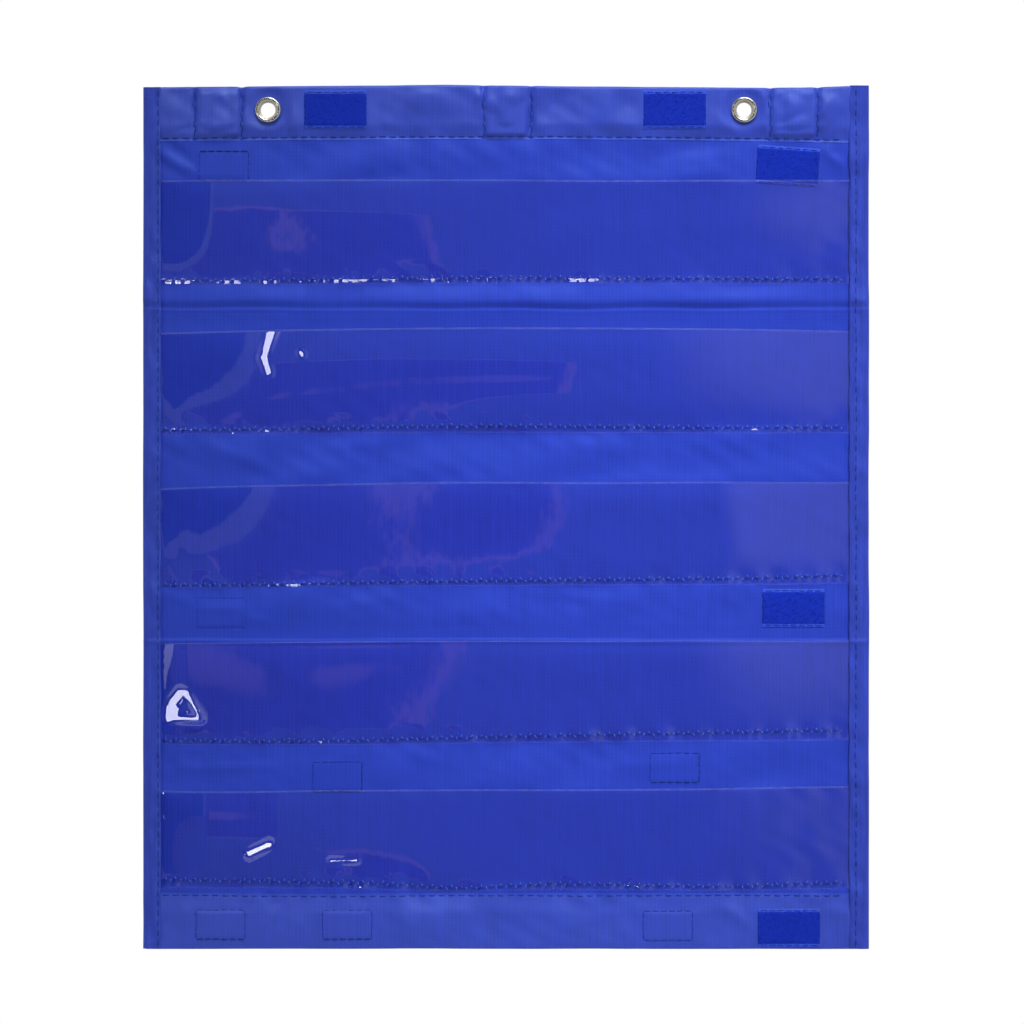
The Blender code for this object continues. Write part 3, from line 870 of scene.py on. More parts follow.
def header_front(x, z):
    """Front face of the header's front leaf."""
    above = z - header_seam(x)
    loose = smooth(0.5 * MM, 4 * MM, above) * smooth(0.2 * MM, 3.5 * MM, chart_top - z) * calm(x, z)
    loose = loose * smooth(0, 3 * MM, x - left_tape_edge) * smooth(0, 3 * MM, right_tape_edge - x)
    folds = fold_relief(x, z) * loose
    depth = lie(x, z) - 2 * CLOTH - header_loft(x, z)
    for place in SLEEVES:
        for side in (-1, 1):
            away = x - place - side * sleeve_line(z)
            folds = folds * (1 - FOLD_HOLD * hill(away, PINCH))
            depth = depth + SLEEVE_DIP * sunk(away / DIP_SPREAD, z)
    depth = depth - np.maximum(folds, -DEEPEST_FOLD * np.maximum(header_loft(x, z) - SEAT, 0))
    depth = depth + sunk(above, x) - TURNED_ROLL * hill(above + TURNED_EDGE, TURNED_WIDTH)
    depth = depth + (1 - THINNEST) * CLOTH * turned_thin(above)
    for front, back, near in magnet_covers(x, z):
        depth = depth + (np.minimum(depth, front - MAGNET_GAP - CLOTH) - depth) * near
    return depth


# Folds that show in the hem, given as SIDE_FOLDS are.
HEM_FOLDS = (
    (-138.5, -341.5, 0.55, 8.0, 2.4, 52),
    (-98.6, -339.0, 0.55, 8.0, 2.4, 52),
    (-61.0, -336.0, 0.3, 5.0, 2.0, 60),
    (36.0, -340.0, 0.3, 12.0, 3.0, 20),
    (98.0, -339.0, 0.35, 8.0, 2.6, -40),
)


def hem_front(x, z):
    """Front face of the hem's front leaf."""
    below = hem_seam(x) - z
    folds = folds_height(HEM_FOLDS, x, z) * smooth(0.5 * MM, 5 * MM, below)
    depth = lie(x, z) - 2 * CLOTH - hem_loft(x, z) - folds
    depth = depth + sunk(below, x) - TURNED_ROLL * hill(below + TURNED_EDGE, TURNED_WIDTH)
    for node in HEM_NODES:
        depth = depth + OUTLINE_DIP * sunk(*box_line(x, z, node))
    return depth + (1 - THINNEST) * CLOTH * turned_thin(below)


# %% Grids of the folded cloth
HOLE_RADIUS = 4.25 * MM
FOLD_STEPS = 8
FRONT_ROWS = 30
FOLD_INSET = 1.2 * MM
COLUMN_PITCH = 1.15 * MM
ROW_PITCH = 1.5 * MM
split_line = seams[2]


def folded_grid(columns, rows, edge, seam, leaf_front, turn):
    """Points of a cloth that runs along its rows, over the fold at edge and back to its seam.

    turn is 1 where the fold is at the top and -1 at the bottom.
    """
    x = columns[:, None]
    end = edge(x[:, 0])[:, None]
    inset = end - turn * FOLD_INSET
    bend = (main_leaf(x, inset) - leaf_front(x, inset)) / 2
    centre = end - turn * bend
    body = rows[None, :] + 0 * x
    near = smooth(0, 1, turn * (body - seam(x)) / np.abs(end - seam(x)))
    body = body + near * (centre - rows[-1])
    depth = main_leaf(x, body)
    back = np.stack([x + 0 * body, depth, body], -1)
    cut_back = np.stack([x + 0 * body, body], -1)
    angle = np.linspace(0, math.pi, FOLD_STEPS + 1)[None, 1:-1]
    middle = depth[:, -1:] - bend
    fold_x, fold_z = x + 0 * angle, centre + turn * bend * np.sin(angle)
    fold = np.stack([fold_x, middle + bend * np.cos(angle), fold_z], -1)
    cut_fold = np.stack([fold_x, centre + turn * bend * angle], -1)
    share = np.linspace(0, 1, FRONT_ROWS)[None, :]
    last = seam(x) - turn * TURNED_EDGE
    front_rows = centre + (last - centre) * share
    front_depth = leaf_front(x, front_rows)
    front_depth = front_depth + (middle - bend - front_depth[:, :1]) * (1 - smooth(0, 0.25, share))
    front_x, front_cut = x + 0 * front_rows, centre + turn * bend * math.pi + (centre - front_rows)
    front = np.stack([front_x, front_depth, front_rows], -1)
    cut_front = np.stack([front_x, front_cut], -1)
    thin = np.zeros((len(columns), rows.size + FOLD_STEPS - 1 + FRONT_ROWS))
    thin[:, -FRONT_ROWS:] = turned_thin(turn * (front_rows - seam(x)))
    cut = np.concatenate([cut_back, cut_fold, cut_front], 1)
    return np.concatenate([back, fold, front], 1), cut, thin


fine_columns = [(p + s * SLEEVE_HALF, 2 * MM, 0.6 * MM) for p in SLEEVES for s in (-1, 1)]
fine_columns += [(g, 7 * MM, 0.6 * MM) for g in GROMMETS]
columns = spaced(-cloth_edge, cloth_edge, COLUMN_PITCH, fine_columns)
crease_rows = [(crease, 5 * MM, 0.7 * MM) for crease in (upper_crease, lower_crease)]
fine_rows = [(seam, 2.2 * MM, 0.7 * MM) for seam in seams] + crease_rows
grommet_rows = [(0, 6 * MM, 0.6 * MM)]
upper_rows = spaced(split_line, chart_top - 2.0 * MM, ROW_PITCH, fine_rows + grommet_rows)
lower_rows = spaced(chart_bottom + 1.0 * MM, split_line, ROW_PITCH, fine_rows)[::-1]
upper_points, upper_cut, upper_thin = folded_grid(
    columns, upper_rows, top_edge, header_seam, header_front, 1
)
lower_points, lower_cut, lower_thin = folded_grid(
    columns, lower_rows, bottom_edge, hem_seam, hem_front, -1
)
print("grids:", upper_points.shape[:2], lower_points.shape[:2])


# %% Cut the grommets' holes and make the two cloths
def cell_middles(points):
    """Middle of each face of a grid."""
    return (points[:-1, :-1] + points[1:, :-1] + points[1:, 1:] + points[:-1, 1:]) / 4


def snap_to_hole(points, place):
    """Moves the points just round a hole onto its circle, so that its rim is round."""
    x = points[..., 0] - place
    z = points[..., 2]
    radius = np.hypot(x, z)
    close = (radius > HOLE_RADIUS - 0.75 * MM) & (radius < HOLE_RADIUS + 0.45 * MM)
    scale = np.where(close, HOLE_RADIUS / np.maximum(radius, 0.1 * MM), 1.0)
    points[..., 0] = place + x * scale
    points[..., 2] = z * scale


keep = np.ones((upper_points.shape[0] - 1, upper_points.shape[1] - 1), bool)
for grommet in GROMMETS:
    middles = cell_middles(upper_points)
    keep &= np.hypot(middles[..., 0] - grommet, middles[..., 2]) > HOLE_RADIUS - 0.1 * MM
    snap_to_hole(upper_points, grommet)
upper_cloth = grid_sheet(
    "cloth_with_header", upper_points, upper_cut, CLOTH, nylon, keep, True, upper_thin
)
lower_cloth = grid_sheet(
    "cloth_with_hem", lower_points, lower_cut, CLOTH, nylon, thin=lower_thin
)
# Materials by face: 0 the back leaf, 1 the doubled front leaf, 2 the header's turned edge,
# painted lighter as a highlight.
for cloth, rows, kept in ((upper_cloth, upper_rows, keep), (lower_cloth, lower_rows, None)):
    cloth.data.materials.append(doubled)
    cloth.data.materials.append(painted_edge_highlight)
    in_front = np.zeros((len(columns) - 1, rows.size + FOLD_STEPS - 2 + FRONT_ROWS), np.int32)
    in_front[:, rows.size + FOLD_STEPS // 2 :] = 1
    in_front[:, -1] = 2 if cloth is upper_cloth else 1
    in_front = in_front.reshape(-1) if kept is None else in_front.reshape(-1)[kept.reshape(-1)]
    cloth.data.polygons.foreach_set("material_index", in_front)
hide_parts("upper_cloth", "middle_cloth")
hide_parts("lower_cloth")
print("cloth faces:", len(upper_cloth.data.polygons), len(lower_cloth.data.polygons))

# %% [markdown]
# ## Side tapes
#
# A woven tape is folded round each side edge and sewn through all layers. It covers the ends of
# the vinyl strips. Its inner edges are turned under, so they are rounded and a little proud, and
# its thread pulls a row of small puckers along them.

# %% Both side tapes, each in two pieces that meet at a pocket seam
LEFT_THREAD = 1.1 * MM
RIGHT_THREAD = 2.8 * MM
TAPE_FRONT = 1.8 * MM
TAPE_BACK = 0.8 * MM
TAPE_STEPS = 9
TAPE_ROW_PITCH = 1.3 * MM
# One leg of the tape from its inner edge to its fold: share of the way, and how far it is turned under.
TAPE_LEG = ((0.0, 0.35), (0.03, 0.1), (0.12, 0.0), (0.3, 0.0), (0.5, 0.0), (0.7, 0.0), (0.88, 0.0))
TAPE_LOOSENESS = 0.95 * MM


def tape_edge(side):
    return left_tape_edge if side < 0 else right_tape_edge


def tape_thread(side):
    """Place across of the line of thread on a tape."""
    return left_tape_edge - LEFT_THREAD if side < 0 else right_tape_edge + RIGHT_THREAD


def tape_pucker(side, x, z):
    """How far a tape stands off between its stitches."""
    near = np.exp(-np.abs(x - tape_thread(side)) / (3 * MM))
    waves = np.clip(0.5 + 0.5 * uneven(x, z, 9 * MM, 80 + side), 0, 1)
    loose = TAPE_LOOSENESS * waves * (0.45 + 0.6 * near)
    return loose - sunk(x - tape_thread(side), z) * 1.2


def tape_front(side, x, z):
    """Front face of a tape."""
    return lie(x, z) - TAPE_FRONT - tape_pucker(side, x, z)


def tape_back(side, x, z):
    """Back face of a tape."""
    return lie(x, z) + TAPE_BACK + 0.7 * tape_pucker(side, x, z)


def tape_grid(side, rows):
    """Profile of the folded tape, swept down its rows from its back leg to its front leg."""
    z = rows[None, :]
    inner = tape_edge(side) + 0.16 * MM * uneven(0, z, 18 * MM, 90 + side)
    bulge = (TAPE_FRONT + TAPE_BACK) / 2
    outer = half_width + 0.1 * MM * uneven(0, z, 55 * MM, 94 + side) - 0.1 * MM
    centre = side * (outer - bulge)
    points = []
    for share, tuck in TAPE_LEG:
        x = inner + (centre - inner) * share
        points.append(np.stack([x, tape_back(side, x, z) - tuck * MM, z + 0 * x], -1))
    angles = np.linspace(0, math.pi, TAPE_STEPS)[1:-1]
    back = tape_back(side, centre, z)
    front = tape_front(side, centre, z)
    for angle in angles:
        x = centre + side * bulge * math.sin(angle)
        y = (front + back) / 2 + (back - front) / 2 * math.cos(angle)
        points.append(np.stack([x, y, z + 0 * x], -1))
    for share, tuck in reversed(TAPE_LEG):
        x = inner + (centre - inner) * share
        points.append(np.stack([x, tape_front(side, x, z) + tuck * MM, z + 0 * x], -1))
    grid = np.concatenate(points, 0)
    along = np.concatenate([[0.0], np.cumsum(np.hypot(*np.diff(grid[:, 0, :2], axis=0).T))])
    cut = np.stack([along[:, None] + 0 * z, z + 0 * along[:, None]], -1)
    return grid, cut


tapes = {}
for part, lows, highs in (("top", None, TAPE_TOPS), ("bottom", TAPE_ENDS, None)):
    for side, label in ((-1, "left"), (1, "right")):
        low = lows[side] if lows else split_line
        high = highs[side] if highs else split_line
        rows = spaced(low, high, TAPE_ROW_PITCH, crease_rows)
        grid, cut = tape_grid(side, rows)
        tape = grid_sheet(f"{label}_tape_{part}", grid, cut, TAPE, edging, turn=side > 0)
        tapes[label, part] = tape
for label in ("left", "right"):
    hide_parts(f"{label}_tape_upper", f"{label}_tape_middle")
    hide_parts(f"{label}_tape_lower")
print("tapes:", [t.name for t in tapes.values()])

# %% [markdown]
# ## Clear vinyl
#
# Each pocket is a strip of soft clear vinyl. It bows out a little towards its mouth, and its own
# slow waves bend whatever it mirrors into curved veils. Below its seam a two-millimetre lip curls
# forward between the stitches, which is what glints as a row of dots.

# %% The form of the five strips
MOUTH_BOW = 5.6 * MM
# How the mouth's bow begins at the left: share of a first short rise, its reach, the second's reach.
LEFT_RISES = ((0.75, 24, 110), (0.0, 20, 66), (0.0, 20, 70), (1.0, 11, 20), (1.0, 20, 20))
RIGHT_RISES = (56, 92, 72, 78, 96)
# How round each pocket's bow is from its seam to its mouth: 0 is straight, 1 a quarter wave.
ROUNDNESS = (0.45, 1.0, 0.15, 0.15, 1.0)
SEAM_RISE = 0.06
LEFT_DROPS = (0.2 * MM, 2.4 * MM, 2.9 * MM, 1.26 * MM, 0.9 * MM)
RIGHT_DROPS = (0.0, 1.4 * MM, 0.0, 0.0, -1.4 * MM)
FILM_WAVE = 0.10 * MM
FILM_PITCH = 85 * MM
# Slow swells: pocket, place across, height, rise towards the room, reach across and reach up.
SWELLS = (
    (1, -92, -122, 0.3, 30, 12),
    (1, 60, -112, 1.7, 60, 22),
    (2, 60, -175, 1.5, 60, 34),
    (2, 96, -178, 0.7, 14, 40),
)
# Where the bow sinks to the right: pocket, its share, start and end, and a level that it spares.
SINKS = ((0, 0.75, -104, -6, -44.0, 0.5), (4, 0.7, -96, -20, 0, 0.0))
# Glints: pocket, the lamp that it mirrors, and its strokes from x, z to x, z with a half width.
GLINTS = (
    (1, GLINT_PLACE, ((-97.2, -91.6, -100.8, -101.0, 1.6), (-102.0, -104.0, -99.4, -110.2, 1.4))),
    (1, GLINT_PLACE, ((-85.9, -102.3, -85.4, -103.0, 1.2),)),
    (
        3,
        GLINT_PLACE,
        (
            (-143.6, -252.6, -140.2, -252.4, 2.4),
            (-140.0, -248.6, -136.6, -244.6, 1.8),
            (-134.6, -243.9, -128.6, -254.0, 1.1),
            (-142.0, -255.6, -128.4, -255.4, 1.3),
        ),
    ),
    (4, LOW_GLINT_PLACE, ((-107.6, -312.2, -99.4, -308.2, 1.5),)),
    (4, LOW_GLINT_PLACE, ((-73.6, -315.2, -62.6, -315.2, 0.9),)),
)
# Places with closer columns, at each pocket's glints. The first pocket is close all along its lip.
FINE_COLUMNS = ((), (-97, -86), (), (-137,), (-103, -68))
FIRST_PITCH = 0.69 * MM
FILM_COLUMN_PITCH = 1.035 * MM
FILM_SHARES = (np.linspace(0, 0.1, 6), np.linspace(0.1, 0.94, 46)[1:], [0.962, 0.98, 0.992, 1.0])
LIP_ROWS = 6
BEAD = (-0.02 * MM, -0.04 * MM, -0.02 * MM)


def mouth_line(n, x):
    """Height of a pocket's open upper edge, which drops towards its ends."""
    drop = np.where(x < 0, LEFT_DROPS[n], RIGHT_DROPS[n])
    return MOUTHS[n] - drop * (x / half_width) ** 2 + 0.12 * MM * uneven(x, 0, 90 * MM, 50 + n)


def quarter(value):
    """Rises from 0 to 1 and ends level."""
    return np.sin(math.pi / 2 * np.clip(value, 0, 1))


def film_body(n, x, z):
    """Front face of a clear strip before its small buckles."""
    seam = seam_line(n, x)
    share = np.clip((z - seam) / (mouth_line(n, x) - seam), 0, 1)
    part, short, long = LEFT_RISES[n]
    inward = (x - left_tape_edge - SEAT) / MM
    left = part * quarter(inward / short) + (1 - part) * quarter(inward / long)
    room = left * quarter((right_tape_edge - SEAT - x) / MM / RIGHT_RISES[n])
    straight = (share + SEAM_RISE * quarter(6 * share)) / (1 + SEAM_RISE)
    profile = ROUNDNESS[n] * quarter(share) + (1 - ROUNDNESS[n]) * straight
    free = smooth(0, 0.35, share) * smooth(0, 0.35, room)
    waves = FILM_WAVE * uneven(x, z, FILM_PITCH, 100 + n, 1.3)
    for number, dx, dz, rise, across, up in SWELLS:
        if number == n:
            waves = waves - rise * MM * hill(x / MM - dx, across) * hill(z / MM - dz, up)
    for number, depth, begin, end, level, spare in SINKS:
        if number == n:
            sunk_share = np.clip((x / MM - begin) / (end - begin), 0, 1)
            room = room * (1 - depth * sunk_share * (1 - spare * hill(z / MM - level, 11)))
    below = np.clip((seam - z) / VINYL_BELOW_SEAM, 0, 1)
    curl = lip_curl(n, x) * below**0.8 * smooth(0, 1.5 * MM, x - left_tape_edge)
    follow = 1 - smooth(0.02, 0.18, share) * smooth(0, 0.3, room)
    base = lie(x, z, follow) - CLOTH - SEAT - VINYL
    return base - MOUTH_BOW * room * profile + waves * free - curl + sunk((z - seam) / DIP_SPREAD, x)


# Stretches of lip that stand up and catch the key light: pocket, from, to, lift and scallop.
LIPS = (
    (0, -145, -133.5, 0.86, 0.0),
    (0, -120, -112, 0.5, 1.0),
    (0, -104, -95, 0.58, 0.9),
    (0, -84, -76, 0.5, 1.0),
    (0, -73, -46, 0.68, 0.2),
    (0, -35, -21, 0.64, 0.45),
    (0, -17, 22, 0.46, 1.0),
    (0, 26, 39, 0.64, 0.25),
    (0, 43, 56, 0.44, 1.0),
    (4, -143, -138, 0.6, 0.9),
    (4, -70, -58, 0.6, 1.0),
    (4, 19, 26, 0.6, 1.0),
    (4, 44, 62, 0.56, 1.0),
)
LOW_LIP = 0.05
LIP_WAVE = 0.1
SCALLOP_DEPTH = 0.75


def lip_curl(n, x):
    """How far the lip below a seam stands off the cloth: it lifts between the stitches."""
    wave = 0.5 - 0.5 * np.cos(x * math.tau / STITCH_PITCH)
    total = LOW_LIP + LIP_WAVE * wave
    for number, begin, end, lift, scallop in LIPS:
        if number == n:
            here = smooth(begin - 2, begin + 1, x / MM) * smooth(end + 2, end - 1, x / MM)
            lifted = lift * (1 - SCALLOP_DEPTH * scallop * (1 - wave))
            total = total + (lifted - LOW_LIP) * here
    return total * MM


BUCKLE_EDGE = (2.1, 1.0)


def mirror_slopes(x, y, z, lamp):
    """How much a face at a point must lean in x and z to show the lamp to the camera."""
    point = Vector((x, y, z))
    between = (Vector(CAMERA_PLACE) - point).normalized() + (Vector(lamp) - point).normalized()
    return between.x / -between.y, between.z / -between.y


def stroke_distance(x, z, stroke):
    """Distance from a line between two places, over the stroke's half width."""
    x0, z0, x1, z1, half = stroke
    dx, dz = x1 - x0, z1 - z0
    along = np.clip(((x / MM - x0) * dx + (z / MM - z0) * dz) / (dx**2 + dz**2), 0, 1)
    return np.hypot(x / MM - x0 - along * dx, z / MM - z0 - along * dz) / half


def film_front(n, x, z):
    """Front face of a clear strip, with the buckles that glint."""
    depth = film_body(n, x, z)
    for number, lamp, strokes in GLINTS:
        if number != n:
            continue
        ends = np.array([s[:4] for s in strokes]).reshape(-1, 2)
        cx, cz = ends.mean(0) * MM
        centre = float(film_body(n, np.array([cx]), np.array([cz]))[0])
        lean_x, lean_z = mirror_slopes(cx, centre, cz, lamp)
        flat = centre + lean_x * (x - cx) + lean_z * (z - cz)
        away = np.min([stroke_distance(x, z, stroke) for stroke in strokes], axis=0)
        depth = depth + (flat - depth) * smooth(*BUCKLE_EDGE, away)
    return np.minimum(depth, lie(x, z) - CLOTH - SEAT / 2 - VINYL)


def film_grid(n):
    """Points of a strip from its lip to its mouth, which is a small bead."""
    fine = [(place * MM, 8 * MM, 0.5 * MM) for place in FINE_COLUMNS[n]]
    columns = spaced(-vinyl_edge, vinyl_edge, FIRST_PITCH if n == 0 else FILM_COLUMN_PITCH, fine)
    x = columns[:, None]
    seam = seam_line(n, x)
    straying = 0.4 * (seam - seams[n]) + 0.12 * MM * uneven(x, 0, 20 * MM, 120 + n)
    low = seams[n] - VINYL_BELOW_SEAM + straying
    lip = low + (seam - low) * np.linspace(0, 1, LIP_ROWS)[None, :-1]
    body = seam + (mouth_line(n, x) - seam) * np.concatenate(FILM_SHARES)[None, :]
    z = np.concatenate([lip, body], 1)
    y = film_front(n, x, z)
    bead = np.zeros(z.shape[1])
    bead[-len(BEAD) :] = BEAD
    points = np.stack([x + 0 * z, y + bead[None, :], z], -1)
    return points, np.stack([x + 0 * z, z], -1)


# %% [markdown]
# The vinyl's material is mostly a clear pass-through with a faint violet tint. Its front face mirrors
# the room by Fresnel. A strip has two parallel faces, so the mirror is given to the front one alone,
# at nearly twice the strength, and the back face only tints.

# %% The vinyl material and the five strips
VINYL_IOR = 1.5
RIPPLE_SCALE = 38.0
RIPPLE_BUMP = 0.07
RIPPLE_DEPTH = 0.5 * MM
SCUFF_SCALE = 14.0
NICK_SCALE = 160.0
MIRROR_GAIN = 1.8


def make_vinyl():
    material, tree, shader = new_material("clear vinyl")
    shader.inputs["Base Color"].default_value = (0.96, 0.96, 1.0, 1.0)
    shader.inputs["Metallic"].default_value = 1.0
    places = cut_places(tree)
    ripple = noise(tree, places, RIPPLE_SCALE)
    relief = press_relief(tree, shader, ripple, RIPPLE_BUMP, RIPPLE_DEPTH)
    scuff = noise(tree, places, SCUFF_SCALE, 6.0)
    rough = math_node(tree, "MULTIPLY_ADD", scuff, 0.03, 0.015)
    tree.links.new(rough, shader.inputs["Roughness"])
    mirror = add_node(tree, "ShaderNodeFresnel")
    mirror.inputs["IOR"].default_value = VINYL_IOR
    tree.links.new(relief, mirror.inputs["Normal"])
    side = add_node(tree, "ShaderNodeNewGeometry")
    facing = math_node(tree, "SUBTRACT", 1.0, side.outputs["Backfacing"])
    both_faces = math_node(tree, "MULTIPLY", mirror.outputs[0], MIRROR_GAIN, clamp=True)
    share = math_node(tree, "MULTIPLY", both_faces, facing)
    clear = add_node(tree, "ShaderNodeBsdfTransparent")
    clear.inputs["Color"].default_value = (0.921, 0.928, 0.982, 1.0)
    mix_surfaces(tree, share, clear, shader)
    return material


def make_cut_edge(name, strength):
    """The vinyl's cut edge scatters light, so it shows as a thin pale line."""
    material, tree, shader = new_material(name)
    shader.inputs["Base Color"].default_value = (0.50, 0.56, 0.85, 1.0)
    nicks = noise(tree, cut_places(tree), NICK_SCALE)
    rough = math_node(tree, "MULTIPLY_ADD", nicks, 0.2, 0.3)
    tree.links.new(rough, shader.inputs["Roughness"])
    clear = add_node(tree, "ShaderNodeBsdfTransparent")
    clear.inputs["Color"].default_value = (0.93, 0.94, 0.985, 1.0)
    mix_surfaces(tree, math_node(tree, "MULTIPLY", nicks, strength), clear, shader)
    return material


vinyl = make_vinyl()
cut_edge = make_cut_edge("vinyl cut edge", 0.10)
# A stronger pale line for the fourth strip's mouth: a painted highlight.
painted_highlight_edge = make_cut_edge("bright cut edge", 0.17)
low_edge = make_cut_edge("lower cut edge", 0.05)
films = []
# The fourth strip's mouth lies on the lower crease, where its one edge row gets a stronger pale line: a
# painted highlight.
for n in range(5):
    points, cut = film_grid(n)
    film = grid_sheet(f"clear_strip_{n + 1}", points, cut, VINYL, vinyl)
    at_crease = n == 3
    film.data.materials.append(painted_highlight_edge if at_crease else cut_edge)
    film.data.materials.append(low_edge)
    rows = np.arange(len(film.data.polygons)) % (points.shape[1] - 1)
    edge_rows = 1 if at_crease else 2
    at_edge = np.where(rows == 0, 2, (rows >= points.shape[1] - 1 - edge_rows) * 1)
    film.data.polygons.foreach_set("material_index", at_edge.astype(np.int32))
    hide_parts(f"pocket_{n + 1}")
    films.append(film)
print("strips:", len(films), "faces each about", len(films[0].data.polygons))

# %% [markdown]
# ## Hook-and-loop patches
#
# A loop patch is woven tape with a brushed face: a felt of fine loops with a bare, brighter selvage
# along its top and bottom. A hook patch has rows of small stiff hooks. Both are real geometry here,
# a felted ground plus hundreds of small bent filaments, because their fuzz catches the light.

# %% Materials of the patches
PILE_SCALE = 900.0
PILE_BUMP = 0.6
PILE_DEPTH = 0.15 * MM


def make_pile_material(name, dark, bright, roughness):
    material, tree, shader = new_material(name)
    grain = noise(tree, cut_places(tree), PILE_SCALE, 3.0)
    colour = mix_colours(tree, grain, dark, bright)
    tree.links.new(colour, shader.inputs["Base Color"])
    shader.inputs["Roughness"].default_value = roughness
    press_relief(tree, shader, grain, PILE_BUMP, PILE_DEPTH)
    shader.inputs["Specular IOR Level"].default_value = 0.3
    shader.inputs["Specular Tint"].default_value = LUSTRE
    return material


loop_pile = make_pile_material("loop pile", (0.0055, 0.0195, 0.35), (0.0115, 0.036, 0.51), 0.95)
loop_fuzz = make_pile_material(
    "loop filaments", (0.009, 0.030, 0.44), (0.017, 0.050, 0.66), 0.9
)
hook_pile = make_pile_material("hook pile", (0.009, 0.026, 0.30), (0.016, 0.042, 0.44), 0.4)
SELVAGE_BLUES = ((0.034, 0.080, 0.72), (0.022, 0.058, 0.56))
selvage = make_nylon("patch selvage", *SELVAGE_BLUES, 0.6, pitch=0.9 * MM)


# %% The ground of a patch and its filaments
def cloth_front(x, z):
    """Front face of the nylon: the header, the hem or the single leaf."""
    depth = main_leaf(x, z) - CLOTH
    depth = np.where(z > header_seam(x) - TURNED_EDGE, header_front(x, z), depth)
    return np.where(z < hem_seam(x) + TURNED_EDGE, hem_front(x, z), depth)


PATCH_GROUND = 0.32 * MM
SELVAGE_WIDTH = 1.5 * MM
SELVAGE_RIB = 0.9 * MM
BACKING = 0.1 * MM
PATCH_STEP = 0.45 * MM
FRAY = 0.16 * MM


def patch_seat(node, along, up, side):
    """Where a point of a patch lies: its place across and up, and the depth of the face under it."""
    px, pz = patch_places[node]
    tilt = TOP_PATCH_TILT if node == "loop_patch_top" else 0.0
    x = px + along * math.cos(tilt) + up * math.sin(tilt)
    z = pz + up * math.cos(tilt) - along * math.sin(tilt)
    face = cloth_front(x, z) if side < 0 else main_leaf(x, z)
    return x, z, face


def patch_height(along, up, pile, seed):
    """Height of a patch's face over the cloth: bare ground along the selvages, felt between them."""
    edge = PATCH_HEIGHT / 2 - np.abs(up)
    end = PATCH_LENGTH / 2 - np.abs(along)
    felt = smooth(SELVAGE_WIDTH - 0.25 * MM, SELVAGE_WIDTH + 0.35 * MM, edge)
    felt = felt * smooth(-0.1 * MM, 0.5 * MM, end)
    tufts = 0.06 * MM * uneven(along, up, 1.7 * MM, seed)
    tufts = tufts + 0.03 * MM * uneven(along, up, 5 * MM, seed + 1)
    ribs = 0.05 * MM * np.sin(along * math.tau / SELVAGE_RIB) * (1 - felt)
    rim = 0.5 + 0.5 * smooth(-0.05 * MM, 0.5 * MM, np.minimum(edge, end))
    return (PATCH_GROUND + ribs + (pile + tufts) * felt) * rim


def make_patch_ground(node, side, pile, seed, material):
    """The woven tape of a patch, with its felt or hooks' ground in the given material."""
    along = spaced(-PATCH_LENGTH / 2, PATCH_LENGTH / 2, PATCH_STEP)
    up = spaced(-PATCH_HEIGHT / 2, PATCH_HEIGHT / 2, PATCH_STEP)
    a, u = np.meshgrid(along, up, indexing="ij")
    at_end = smooth(0.6 * MM, 0.1 * MM, PATCH_LENGTH / 2 - np.abs(a))
    at_edge = smooth(0.6 * MM, 0.1 * MM, PATCH_HEIGHT / 2 - np.abs(u))
    frayed_a = a + FRAY * at_end * uneven(a, u, 1.5 * MM, seed + 20)
    frayed_u = u + FRAY * at_edge * uneven(a, u, 1.8 * MM, seed + 21)
    x, z, face = patch_seat(node, frayed_a, frayed_u, side)
    height = patch_height(a, u, pile, seed) + 0.12 * MM
    points = np.stack([x, face + side * height, z], -1)
    cut = np.stack([a, u], -1)
    name = node.replace("patch", "tape")
    piece = grid_sheet(name, points, cut, BACKING, selvage, turn=side > 0)
    piece.data.materials.append(material)
    felted = np.abs(up[:-1] + up[1:]) / 2 < PATCH_HEIGHT / 2 - SELVAGE_WIDTH
    slots = np.tile(felted, along.size - 1).astype(np.int32)
    piece.data.polygons.foreach_set("material_index", slots)
    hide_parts(node)
    return piece


def tubes(paths, radius, sides=4):
    """Vertices and faces of one thin tube along each path. paths is (tubes, points, 3)."""
    count, steps = paths.shape[:2]
    ahead = np.gradient(paths, axis=1)
    ahead /= np.linalg.norm(ahead, axis=-1, keepdims=True)
    aside = np.cross(ahead, (0.31, 0.17, 0.93))
    aside /= np.linalg.norm(aside, axis=-1, keepdims=True)
    other = np.cross(ahead, aside)
    angle = np.arange(sides) * math.tau / sides
    radius = np.broadcast_to(radius, (count, steps))[..., None, None]
    rings = paths[:, :, None] + radius * (
        aside[:, :, None] * np.cos(angle)[:, None] + other[:, :, None] * np.sin(angle)[:, None]
    )
    number = np.arange(count * steps * sides).reshape(count, steps, sides)
    turned = np.roll(number, -1, axis=2)
    walls = np.stack([number[:, :-1], number[:, 1:], turned[:, 1:], turned[:, :-1]], -1).reshape(-1, 4)
    return rings.reshape(-1, 3), walls, number[:, 0, ::-1], number[:, -1]


def tube_mesh(name, groups, radius, sides=4):
    """One mesh of closed tubes."""
    points, walls, starts, ends = tubes(groups, radius, sides)
    mesh = bpy.data.meshes.new(name)
    faces = walls.tolist() + starts.tolist() + ends.tolist()
    mesh.from_pydata(points.tolist(), [], faces)
    layer = mesh.uv_layers.new(name="cut")
    index = np.array([v for face in faces for v in face])
    layer.data.foreach_set("uv", (points[index][:, [0, 2]] / CUT_UNIT).reshape(-1))
    return mesh


LOOP_RADIUS = 0.055 * MM
LOOP_FIELD = (12.95 * MM, 6.9 * MM)
LOOP_REACH = (0.22, 0.45)
LOOP_RISE = (0.15, 0.4)
LOOP_LEAN = 0.3


